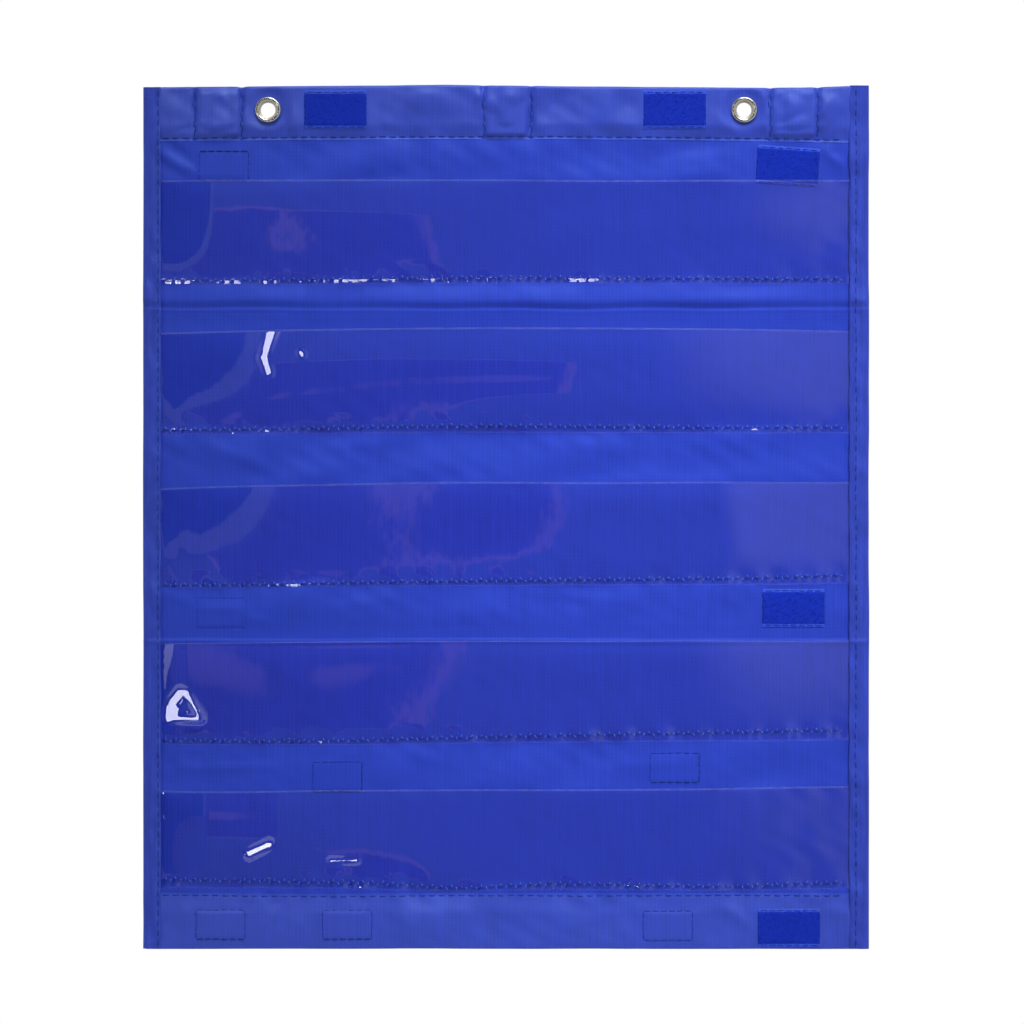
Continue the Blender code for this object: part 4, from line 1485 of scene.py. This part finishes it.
def make_loops(node, seed, count=850):
    """Small arches of filament scattered over the felt, each leaning its own way."""
    draw = np.random.default_rng(seed)
    along = draw.uniform(-LOOP_FIELD[0], LOOP_FIELD[0], count)
    up = draw.uniform(-LOOP_FIELD[1], LOOP_FIELD[1], count)
    x, z, face = patch_seat(node, along, up, -1)
    height = patch_height(along, up, LOOP_PILE, seed) + 0.1 * MM
    turn = draw.uniform(0, math.tau, count)
    reach = draw.uniform(*LOOP_REACH, count) * MM
    rise = draw.uniform(*LOOP_RISE, count) * MM
    lean = draw.uniform(-LOOP_LEAN, LOOP_LEAN, count) * MM
    paths = []
    for step in np.linspace(0, math.pi, 6):
        side = reach * math.cos(step)
        out = rise * math.sin(step) - 0.12 * MM
        px = x + side * np.cos(turn) + lean * math.sin(step)
        pz = z + side * np.sin(turn) + lean * math.sin(step) * 0.6
        paths.append(np.stack([px, face - height - out, pz], -1))
    return tube_mesh(f"loops_{node}", np.stack(paths, 1), LOOP_RADIUS, 3)


HOOK_PROFILE = ((0, 0.4), (0, 0.95), (0.08, 1.3), (0.28, 1.5), (0.48, 1.42), (0.56, 1.2))
HOOK_RADIUS = 0.09 * MM
HOOK_FIELD = (12.3, 6.3)


def make_hooks(node, columns=21, rows=11):
    """Rows of stiff hooks that stand up from the ground and bend over at their tips."""
    wide, tall = HOOK_FIELD
    a, u = np.meshgrid(np.linspace(-wide, wide, columns) * MM, np.linspace(-tall, tall, rows) * MM)
    a = (a + np.where(np.arange(rows)[:, None] % 2, 0.3, -0.3) * MM).ravel()
    u = u.ravel()
    x, z, face = patch_seat(node, a, u, 1)
    bend = np.where(np.arange(a.size) % 2, 1.0, -1.0)
    paths = [np.stack([x + bend * s * MM, face + h * MM, z + 0 * x], -1) for s, h in HOOK_PROFILE]
    return tube_mesh(f"hooks_{node}", np.stack(paths, 1), HOOK_RADIUS, 4)


# %% Make the twelve patches
LOOP_PILE = 0.2 * MM
HOOK_GROUND = 0.08 * MM


def body_at(z):
    """The part of the chart that a height belongs to."""
    if z > upper_crease:
        return "upper_third"
    return "middle_third" if z > lower_crease else "lower_third"


patches = {"upper": [], "lower": []}
for seed, node in enumerate(LOOP_NODES + HOOK_NODES):
    if node in LOOP_NODES:
        ground = make_patch_ground(node, -1, LOOP_PILE, 200 + 2 * seed, loop_pile)
        loops = make_loops(node, 300 + seed)
        fuzz = make_piece(node.replace("patch", "pile"), loops, loop_fuzz)
    else:
        ground = make_patch_ground(node, 1, HOOK_GROUND, 200 + 2 * seed, hook_pile)
        hooks = make_hooks(node)
        fuzz = make_piece(node.replace("patch", "field"), hooks, hook_pile)
    for piece in (ground, fuzz):
        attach(piece, body_at(patch_places[node][1]))
        patches["upper" if patch_places[node][1] > split_line else "lower"].append(piece)
print("patch pieces:", {cloth: len(pieces) for cloth, pieces in patches.items()})

# %% [markdown]
# ## Grommets
#
# Each grommet is a brass eyelet with nickel plating: a domed flange in front, a barrel through the
# cloth and an end rolled over a washer behind. They are turned from a profile, with more steps than
# the CAD part has, because polished metal shows every facet.

# %% Turn the eyelets and the washers
TURN_STEPS = 72
BORE = 3.5 * MM


def turned_mesh(name, profile, place, tilt=(0.0, 0.0)):
    """A closed outline of radius and depth turned round a line along Y, then tilted a little."""
    outline = np.array(profile) * MM
    angle = np.arange(TURN_STEPS) * math.tau / TURN_STEPS
    radius, depth = outline[:, 0][:, None], outline[:, 1][:, None]
    x, z, y = radius * np.cos(angle), radius * np.sin(angle), depth + 0 * angle
    y = y + x * math.tan(tilt[0]) + z * math.tan(tilt[1])
    points = np.stack([place + x, y, z], -1)
    number = np.arange(points.shape[0] * TURN_STEPS).reshape(points.shape[0], TURN_STEPS)
    after, around = np.roll(number, -1, axis=0), np.roll(number, -1, axis=1)
    both = np.roll(after, -1, axis=1)
    faces = np.stack([number, around, both, after], -1).reshape(-1, 4)
    mesh = bpy.data.meshes.new(name)
    mesh.from_pydata(points.reshape(-1, 3).tolist(), [], faces.tolist())
    # Mask of the bore: rougher nickel there, and a darker colour that is painted shade.
    dull_shaded_bore = mesh.attributes.new("dull_shaded_bore", "FLOAT", "POINT")
    inner = 1 - smooth(BORE + 0.15 * MM, BORE + 0.6 * MM, radius + 0 * angle)
    dull_shaded_bore.data.foreach_set("value", inner.reshape(-1))
    return mesh


def dome(centre, depth, across, out, start, stop, steps=9):
    """Points of an arc of an ellipse, in radius and depth."""
    angles = np.linspace(math.radians(start), math.radians(stop), steps)
    return [(centre + across * math.cos(a), depth - out * math.sin(a)) for a in angles]


# Closed outlines in millimetres: radius and depth.
FLANGE_SEAT = -1.5
FLANGE = dome(4.65, FLANGE_SEAT - 0.1, 0.9, 1.05, 180, 0, 13)
ROLL = dome(4.09, 1.12, 0.99, -0.55, 0, 180, 9)
BARREL = [(5.5, FLANGE_SEAT), (3.95, FLANGE_SEAT), (3.85, FLANGE_SEAT + 0.1), (3.85, 1.12)]
THROAT = [(3.1, 0.9), (3.12, 0.2), (3.35, -0.7), (3.64, -1.3)]
EYELET = FLANGE + BARREL + ROLL + THROAT
WASHER = [(4.15, 0.3), (5.5, 0.3), (5.55, 0.34), (5.4, 0.55)]
WASHER += [(5.1, 0.74), (4.9, 0.8), (4.2, 0.8), (4.15, 0.75)]


WEAR_SCALE = 420.0


def make_nickel():
    """Nickel plate with faint wear. The bore is rougher, and its darker colour is painted shade."""
    material, tree, shader = new_material("nickel plate")
    shader.inputs["Metallic"].default_value = 1.0
    wear = noise(tree, object_places(tree), WEAR_SCALE, 4.0)
    colour = mix_colours(tree, wear, (0.44, 0.42, 0.35), (0.68, 0.66, 0.60))
    dull_shaded_bore = add_node(tree, "ShaderNodeAttribute", attribute_name="dull_shaded_bore")
    # Darker colour in the bore: painted shade inside the barrel.
    colour = mix_colours(tree, dull_shaded_bore.outputs["Fac"], colour, (0.42, 0.40, 0.38))
    tree.links.new(colour, shader.inputs["Base Color"])
    rough = math_node(tree, "MULTIPLY_ADD", wear, 0.16, 0.12)
    dull = math_node(tree, "MULTIPLY_ADD", dull_shaded_bore.outputs["Fac"], 0.35, rough)
    tree.links.new(dull, shader.inputs["Roughness"])
    return material


nickel = make_nickel()
TILTS = ((-0.075, 0.055), (-0.04, 0.045))
SHARP_ANGLE = math.radians(55)
fittings = []
for label, place, tilt in zip(("left", "right"), GROMMETS, TILTS):
    eyelet_mesh = turned_mesh("eyelet", EYELET, place, tilt)
    eyelet = make_piece(f"grommet_{label}", eyelet_mesh, nickel)
    washer_mesh = turned_mesh("washer", WASHER, place)
    washer = make_piece(f"grommet_washer_{label}", washer_mesh, nickel)
    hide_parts(f"eyelet_{label}")
    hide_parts(f"washer_{label}")
    for piece in (eyelet, washer):
        piece.data.set_sharp_from_angle(angle=SHARP_ANGLE)
        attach(piece, "upper_third")
        fittings.append(piece)
print("fittings:", [f.name for f in fittings])


# %% The magnets inside the header keep their CAD form
GRAIN_SCALE = 1500.0


def make_ferrite():
    """Dark grey sintered magnet."""
    material, tree, shader = new_material("ferrite")
    grain = noise(tree, object_places(tree), GRAIN_SCALE)
    colour = mix_colours(tree, grain, (0.04, 0.04, 0.045), (0.09, 0.09, 0.09))
    tree.links.new(colour, shader.inputs["Base Color"])
    shader.inputs["Roughness"].default_value = 0.7
    return material


ferrite = make_ferrite()
for label in ("left", "middle", "right"):
    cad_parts[f"magnet_{label}"].data.materials[0] = ferrite

# %% [markdown]
# ## Thread
#
# Every line of sewing is modelled stitch by stitch. A stitch is a short tube whose ends dive into
# the cloth. Lines that cross a crease are kept in pieces of their own, as the tapes are, and the others
# ride on the part of the chart that they are sewn to.

# %% Lay the stitches
THREAD = 0.21 * MM
STITCH_LENGTH = 2.7 * MM
STITCH_SWAY = 0.10
KNOT = 1.2 * MM
# A stitch from end to end: share of its length, and lift in millimetres over what it lies on.
STITCH_ARCH = ((-0.5, -0.16), (-0.42, 0.06), (-0.2, 0.16), (0.2, 0.16), (0.42, 0.06), (0.5, -0.16))
thread_paths = {}


def lay_stitches(holder, x, z, step_x, step_z, face, side, draw, thick=1.0, long=STITCH_LENGTH):
    """Stitches centred at x and z along the step's direction.

    face gives the depth of what they lie on, side is -1 in front and 1 behind.
    """
    x, z = np.broadcast_arrays(np.asarray(x, float), np.asarray(z, float))
    length = np.hypot(step_x, step_z)
    dx, dz = step_x / length, step_z / length
    sway = draw.uniform(-STITCH_SWAY, STITCH_SWAY, x.shape) * MM
    points = []
    for share, lift in STITCH_ARCH:
        px = x + dx * long * share - dz * sway * (1 + share)
        pz = z + dz * long * share + dx * sway * (1 + share)
        points.append(np.stack([px, face(px, pz) + side * lift * MM, pz], -1))
    thread_paths.setdefault(holder, []).append((np.stack(points, 1), thick))


def seam_stitches(line, face, holder, side, draw, thick=1.0):
    """A row of stitches across the chart. It returns the gaps between them."""
    low, high = left_tape_edge - 0.5 * MM, right_tape_edge + 0.5 * MM
    shift = 0.5 * STITCH_PITCH if side > 0 else 0.0
    numbers = np.arange(math.ceil(low / STITCH_PITCH), math.floor(high / STITCH_PITCH))
    x = numbers * STITCH_PITCH + shift + 0.5 * STITCH_PITCH
    slope = (line(x + 1 * MM) - line(x - 1 * MM)) / (2 * MM)
    lay_stitches(holder, x, line(x), 1.0, slope, face, side, draw, thick)
    return x + 0.5 * STITCH_PITCH


draw = np.random.default_rng(5)
# Two rows of stitches beside each sleeve, and two rows of short threads across each pocket's seam,
# whose pale colour is a painted glint: start or shift in pitches, and how far off the line.
SLEEVE_ROWS = ((0.0, -0.15 * MM), (0.5, 0.3 * MM))
KNOT_ROWS = ((0.0, -0.55), (-0.5, 0.35))
KNOT_LEAN = 0.8
KNOT_THICKNESS = 0.95
FILM_THICKNESS = 0.8
seam_stitches(header_seam, header_front, "upper_third", -1, draw)
seam_stitches(header_seam, main_leaf, "upper_third", 1, draw)
seam_stitches(hem_seam, hem_front, "patches_lower_third", -1, draw)
seam_stitches(hem_seam, main_leaf, "lower_third", 1, draw)
for n in range(5):
    holder = body_at(seams[n])
    line, film_face = partial(seam_line, n), partial(film_front, n)
    gaps = seam_stitches(line, film_face, holder, -1, draw, FILM_THICKNESS)
    for shift, row in KNOT_ROWS:
        place = gaps + shift * STITCH_PITCH
        height = line(place) + (row + draw.uniform(-0.2, 0.2, place.size)) * MM
        lean = draw.uniform(-KNOT_LEAN, KNOT_LEAN, place.size)
        knots = (f"film_{holder}", place, height, lean, 1.0, film_face, -1, draw)
        lay_stitches(*knots, KNOT_THICKNESS, KNOT)
    seam_stitches(line, main_leaf, holder, 1, draw)

for place in SLEEVES:
    for side in (-1, 1):
        for row, (start, shift) in enumerate(SLEEVE_ROWS):
            high = chart_top - 3.2 * MM - start * STITCH_PITCH
            z = np.arange(high, HEADER_SEAM + 1.5 * MM, -STITCH_PITCH)
            line = place + side * sleeve_line(z) + 0.25 * MM * uneven(0, z, 7 * MM, 401 + row) + shift
            lay_stitches("upper_third", line, z, 0.0, 1.0, header_front, -1, draw, 1.0)
            lay_stitches("upper_third", line, z - 1 * MM, 0.0, 1.0, main_leaf, 1, draw)


# %% Sew the tapes and the patches
SIDE_SEAMS = (("sides_top", split_line, chart_top), ("sides_bottom", chart_bottom, split_line))
for side in (-1, 1):
    for holder, low, high in SIDE_SEAMS:
        z = np.arange(low + 2.2 * MM, high - 1.5 * MM, STITCH_PITCH)
        x = tape_thread(side) + 0.12 * MM * uneven(0, z, 40 * MM, 410 + side)
        lay_stitches(holder, x, z, 0.0, 1.0, partial(tape_front, side), -1, draw)
        lay_stitches(holder, x, z + 1 * MM, 0.0, 1.0, partial(tape_back, side), 1, draw)


# How thick the four sides of each back patch's outline look: bottom, left, top and right.
# The bold sides are thread and, darker and thicker, also painted shade along the raised edge.
BOX_WEIGHTS = {
    "hook_patch_top": (0.9, 0.9, 1.7, 0.9),
    "hook_patch_middle": (0.35, 0.35, 0.5, 0.35),
    "hook_patch_lower_left": (1.6, 0.8, 0.8, 1.4),
    "hook_patch_lower_right": (1.6, 1.0, 0.9, 1.2),
    "hook_patch_hem_outer": (1.5, 0.8, 0.6, 0.8),
    "hook_patch_hem_left": (1.5, 0.9, 0.6, 0.8),
}
PATCH_STITCH_PITCH = 3.45 * MM
LOOP_SEAM_HALF = (12.2 * MM, 7.3 * MM)
BOLD_THREAD = 1.1


def box_stitches(node, half_length, half_height, face, side, holder):
    """A sewn rectangle on a patch or round the place of the patch behind the cloth."""
    px, pz = outline_place(node)
    tilt = TOP_PATCH_TILT if node == "loop_patch_top" else 0.0
    count_x = int(round(2 * half_length / PATCH_STITCH_PITCH))
    count_z = int(round(2 * half_height / PATCH_STITCH_PITCH))
    runs = []
    for sign in (-1, 1):
        along = (np.arange(count_x) + 0.5) * 2 * half_length / count_x - half_length
        runs.append((along, sign * half_height + 0 * along, 1.0, 0.0))
        up = (np.arange(count_z) + 0.5) * 2 * half_height / count_z - half_height
        runs.append((sign * half_length + 0 * up, up, 0.0, 1.0))
    weights = BOX_WEIGHTS.get(node, (0.8, 0.8, 0.8, 0.8)) if side < 0 else (1.0, 1.0, 1.0, 1.0)
    for (along, up, dx, dz), weight in zip(runs, weights):
        x = px + along * math.cos(tilt) + up * math.sin(tilt)
        z = pz + up * math.cos(tilt) - along * math.sin(tilt)
        group = holder if weight > BOLD_THREAD or side > 0 else f"patches_{holder}"
        lay_stitches(group, x, z, dx, dz - dx * math.tan(tilt), face, side, draw, weight)


for node in LOOP_NODES:
    holder = body_at(patch_places[node][1])
    over = PATCH_GROUND + 0.1 * MM
    box_stitches(node, *LOOP_SEAM_HALF, lambda x, z: cloth_front(x, z) - over, -1, holder)
    if "header" not in node and "hem" not in node:
        box_stitches(node, *LOOP_SEAM_HALF, main_leaf, 1, holder)
for node in HOOK_NODES:
    holder = body_at(patch_places[node][1])
    box_stitches(node, *OUTLINE_HALF, cloth_front, -1, holder)
    over = PATCH_GROUND + 0.3 * MM
    box_stitches(node, *OUTLINE_HALF, lambda x, z: main_leaf(x, z) + over, 1, holder)


# %% Make the threads
TWIST_SCALE = 1600.0


def make_thread_material(name, dark, bright):
    """Thread whose twist shows as small changes of tone."""
    material, tree, shader = new_material(name)
    twist = noise(tree, cut_places(tree), TWIST_SCALE)
    colour = mix_colours(tree, twist, dark, bright)
    tree.links.new(colour, shader.inputs["Base Color"])
    shader.inputs["Roughness"].default_value = 0.6
    shader.inputs["Specular IOR Level"].default_value = 0.3
    shader.inputs["Specular Tint"].default_value = LUSTRE
    return material


thread = make_thread_material("sewing thread", (0.008, 0.028, 0.20), (0.016, 0.058, 0.35))
other_threads = {
    "patches": make_thread_material("patch thread", (0.011, 0.034, 0.33), (0.018, 0.050, 0.48)),
    # The knots over the vinyl are a pale blue: a painted glint between the stitches.
    "film": make_thread_material("knot thread with painted glint", (0.052, 0.115, 0.55), (0.095, 0.165, 0.72)),
}
THREAD_TAPER = np.array([0.6, 0.9, 1.0, 1.0, 0.9, 0.6])
threads = {}
for holder, groups in thread_paths.items():
    paths = np.concatenate([group for group, thick in groups], 0)
    widths = np.concatenate([np.full(len(group), thick * THREAD) for group, thick in groups])
    mesh = tube_mesh(f"thread_{holder}", paths, widths[:, None] * THREAD_TAPER, 6)
    yarn = other_threads.get(holder.split("_")[0], thread)
    threads[holder] = make_piece(f"thread_{holder}", mesh, yarn)
    print("stitches in", holder, len(paths))

# %% [markdown]
# ## Bodies
#
# The chart folds at its two creases. The cloths, tapes and side threads keep their places with their
# transforms baked in, and everything else rides on one of the three parts.

for piece in (upper_cloth, tapes["left", "top"], tapes["right", "top"], threads["sides_top"]):
    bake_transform(piece)
for piece in (lower_cloth, tapes["left", "bottom"], tapes["right", "bottom"], threads["sides_bottom"]):
    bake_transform(piece)
for n, film in enumerate(films):
    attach(film, body_at(seams[n]))
for body in ("upper_third", "middle_third", "lower_third"):
    for holder in (body, f"patches_{body}", f"film_{body}"):
        if holder in threads:
            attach(threads[holder], body)

# %% [markdown]
# Cloth is cut flat. The two cloth pieces are one sheet on the real chart, 302 mm wide and 409 mm long
# before its header and hem are folded. The loop below only works out each clear strip's height.

for n, film in enumerate(films):
    height = MOUTHS[n] - seams[n] + VINYL_BELOW_SEAM

# %% [markdown]
# ## The studio
#
# The photograph has a plain white ground and soft light from above. White comes from the world and
# the floor as the camera sees them, and never from more light on the chart. In front of the chart
# stands the dim room that the vinyl mirrors, darker on the left and paler on the right.

# %% The world and the floor
AMBIENT = 0.28


def sees_background(tree):
    """1 for camera, glossy and transmission rays, which meet the white ground."""
    path = add_node(tree, "ShaderNodeLightPath")
    seen = math_node(tree, "MAXIMUM", path.outputs["Is Camera Ray"], path.outputs["Is Glossy Ray"])
    return math_node(tree, "MAXIMUM", seen, path.outputs["Is Transmission Ray"])


world = bpy.data.worlds.new("studio")
world.use_nodes = True
bpy.context.scene.world = world
world_tree = world.node_tree
background = world_tree.nodes["Background"]
level = math_node(world_tree, "MULTIPLY_ADD", sees_background(world_tree), 1.0 - AMBIENT, AMBIENT)
world_tree.links.new(level, background.inputs["Strength"])
background.inputs["Color"].default_value = (1.0, 1.0, 1.0, 1.0)


def flat_card(name, corners, material):
    """A stage piece of one face."""
    mesh = bpy.data.meshes.new(name)
    mesh.from_pydata(corners, [], [(0, 1, 2, 3)])
    mesh.materials.append(material)
    card = bpy.data.objects.new(name, mesh)
    bpy.context.scene.collection.objects.link(card)
    return card


FLOOR_FADE = (0.35, 0.78)


def make_floor():
    """A pale floor that turns into the white ground far from its middle."""
    material, tree, shader = new_material("floor")
    shader.inputs["Base Color"].default_value = (0.9, 0.9, 0.9, 1.0)
    shader.inputs["Roughness"].default_value = 0.9
    shader.inputs["Specular IOR Level"].default_value = 0.0
    far = add_node(tree, "ShaderNodeVectorMath", operation="LENGTH")
    tree.links.new(object_places(tree), far.inputs[0])
    fade = ramp(tree, far.outputs["Value"], *FLOOR_FADE, kind="SMOOTHSTEP")
    white = add_node(tree, "ShaderNodeEmission")
    share = math_node(tree, "MULTIPLY", fade, sees_background(tree))
    mix_surfaces(tree, share, shader, white)
    return material


FLOOR_DROP = 260 * MM
FLOOR_REACH = 0.8
FLOOR_BACK = 0.45
floor_height = chart_bottom - FLOOR_DROP
floor_corners = [(FLOOR_REACH * x, FLOOR_REACH * y, 0) for x, y in ((-1, -1), (1, -1), (1, 1), (-1, 1))]
floor = flat_card("floor", floor_corners, make_floor())
floor.location = (0, FLOOR_BACK, floor_height)


# %% The dim room that the vinyl mirrors
def band(tree, value, low, high, soft):
    """A soft-edged mask that is 1 where the value lies between low and high."""
    masks = []
    for start, end in ((low - soft, low + soft), (high + soft, high - soft)):
        masks.append(ramp(tree, value, start, end, kind="SMOOTHSTEP"))
    return math_node(tree, "MULTIPLY", *masks)


# Upright bands of the room: left edge, right edge, softness of the edges and colour.
ROOM_BANDS = (
    (-0.78, -0.62, 0.015, (0.26, 0.26, 0.27)),
    (-0.60, 9.0, 0.02, (0.13, 0.14, 0.14)),
    (0.55, 9.0, 0.30, (0.48, 0.48, 0.48)),
)
# Low panels at the left, a panel with a paler rim and a high lit window: left, right, low and high
# edge, softness of the edges and colour.
DARK_SIDE = (0.004, 0.004, 0.006)
PANELS = (
    (-9.0, -0.60, -1.33, -1.13, 0.02, (0.13, 0.07, 0.11)),
    (-9.0, -0.60, -9.0, -1.33, 0.03, (0.11, 0.11, 0.12)),
    (-0.60, -0.07, -1.72, -0.42, 0.01, (0.50, 0.26, 0.40)),
    (-0.60, -0.095, -1.69, -0.45, 0.012, (0.085, 0.03, 0.075)),
    (-0.84, -0.30, 3.0, 6.4, 0.04, (8.0, 8.0, 8.4)),
)
# Soft spots on the panel: place across, height, reach across and up.
SPOTS = ((-0.36, -1.12, 0.05, 0.12), (-0.18, -1.10, 0.04, 0.09))
SPOT_COLOUR = (0.34, 0.17, 0.27)


def make_room():
    material, tree, shader = new_material("room")
    split = add_node(tree, "ShaderNodeSeparateXYZ")
    tree.links.new(object_places(tree), split.inputs[0])
    across, up = split.outputs["X"], split.outputs["Z"]
    tone = DARK_SIDE
    for low, high, soft, colour in ROOM_BANDS:
        tone = mix_colours(tree, band(tree, across, low, high, soft), tone, colour)
    for left, right, low, high, soft, colour in PANELS:
        beside, between = band(tree, across, left, right, soft), band(tree, up, low, high, soft)
        both = math_node(tree, "MULTIPLY", beside, between)
        tone = mix_colours(tree, both, tone, colour)
    for spot_x, spot_z, wide, tall in SPOTS:
        aside = math_node(tree, "DIVIDE", math_node(tree, "SUBTRACT", across, spot_x), wide)
        above = math_node(tree, "DIVIDE", math_node(tree, "SUBTRACT", up, spot_z), tall)
        squares = [math_node(tree, "MULTIPLY", value, value) for value in (aside, above)]
        away = math_node(tree, "ADD", *squares)
        tone = mix_colours(tree, band(tree, away, -9.0, 1.0, 0.7), tone, SPOT_COLOUR)
    glow = add_node(tree, "ShaderNodeEmission")
    tree.links.new(tone, glow.inputs["Color"])
    tree.links.new(glow.outputs[0], tree.nodes["Material Output"].inputs["Surface"])
    tree.nodes.remove(shader)
    return material


ROOM_REACH = 6.5
ROOM_DISTANCE = 3.2
room_corners = [(ROOM_REACH * x, 0, ROOM_REACH * z) for x, z in ((-1, -1), (-1, 1), (1, 1), (1, -1))]
room = flat_card("room", room_corners, make_room())
room.location = (0, -ROOM_DISTANCE, 0)
for kind in ("camera", "diffuse", "transmission", "volume_scatter", "shadow"):
    setattr(room, f"visible_{kind}", False)


# %% The lamps
def soft_lamp(name, place, target, width, height, watts):
    """A rectangular lamp that faces its target."""
    data = bpy.data.lights.new(name, "AREA")
    data.shape = "RECTANGLE"
    data.size = width
    data.size_y = height
    data.energy = watts
    lamp = bpy.data.objects.new(name, data)
    lamp.location = place
    aim = Vector(target) - Vector(place)
    lamp.rotation_euler = aim.to_track_quat("-Z", "Y").to_euler()
    bpy.context.scene.collection.objects.link(lamp)
    return lamp


CHART_MIDDLE = (0.0, 0.0, -0.17)
# Name, place, width, height and watts.
SOFT_LAMPS = (
    ("key", KEY_PLACE, 1.1, 0.9, 20.0),
    ("glint", GLINT_PLACE, GLINT_SIZE, GLINT_SIZE, 3.1),
    ("low glint", LOW_GLINT_PLACE, LOW_GLINT_SIZE, LOW_GLINT_SIZE, 0.55),
    ("back", (0.3, 1.6, 1.2), 1.2, 0.8, 16.0),
)
for name, place, *sizes in SOFT_LAMPS:
    soft_lamp(name, place, CHART_MIDDLE, *sizes)


POOL_PLACE = (0.45, -1.3, 1.0)
POOL_ACROSS = 0.07
POOL_WATTS = 54.0
POOL_REACH = 0.25
POOL_SOFTNESS = 0.12


def pool_lamp(name, target, watts, reach):
    """A spot lamp with a soft pool of light that reaches so far round its target."""
    place = Vector(POOL_PLACE)
    aim = Vector(target) - place
    data = bpy.data.lights.new(name, "SPOT")
    data.energy = watts
    data.spot_size = 2 * math.atan(reach / aim.length)
    data.spot_blend = 1.0
    data.shadow_soft_size = POOL_SOFTNESS
    lamp = bpy.data.objects.new(name, data)
    lamp.location = place
    lamp.rotation_euler = aim.to_track_quat("-Z", "Y").to_euler()
    lamp.visible_glossy = False
    bpy.context.scene.collection.objects.link(lamp)


for name, height in (("pool_upper", -0.08), ("pool_lower", -0.28)):
    pool_lamp(name, (POOL_ACROSS, 0, height), POOL_WATTS, POOL_REACH)
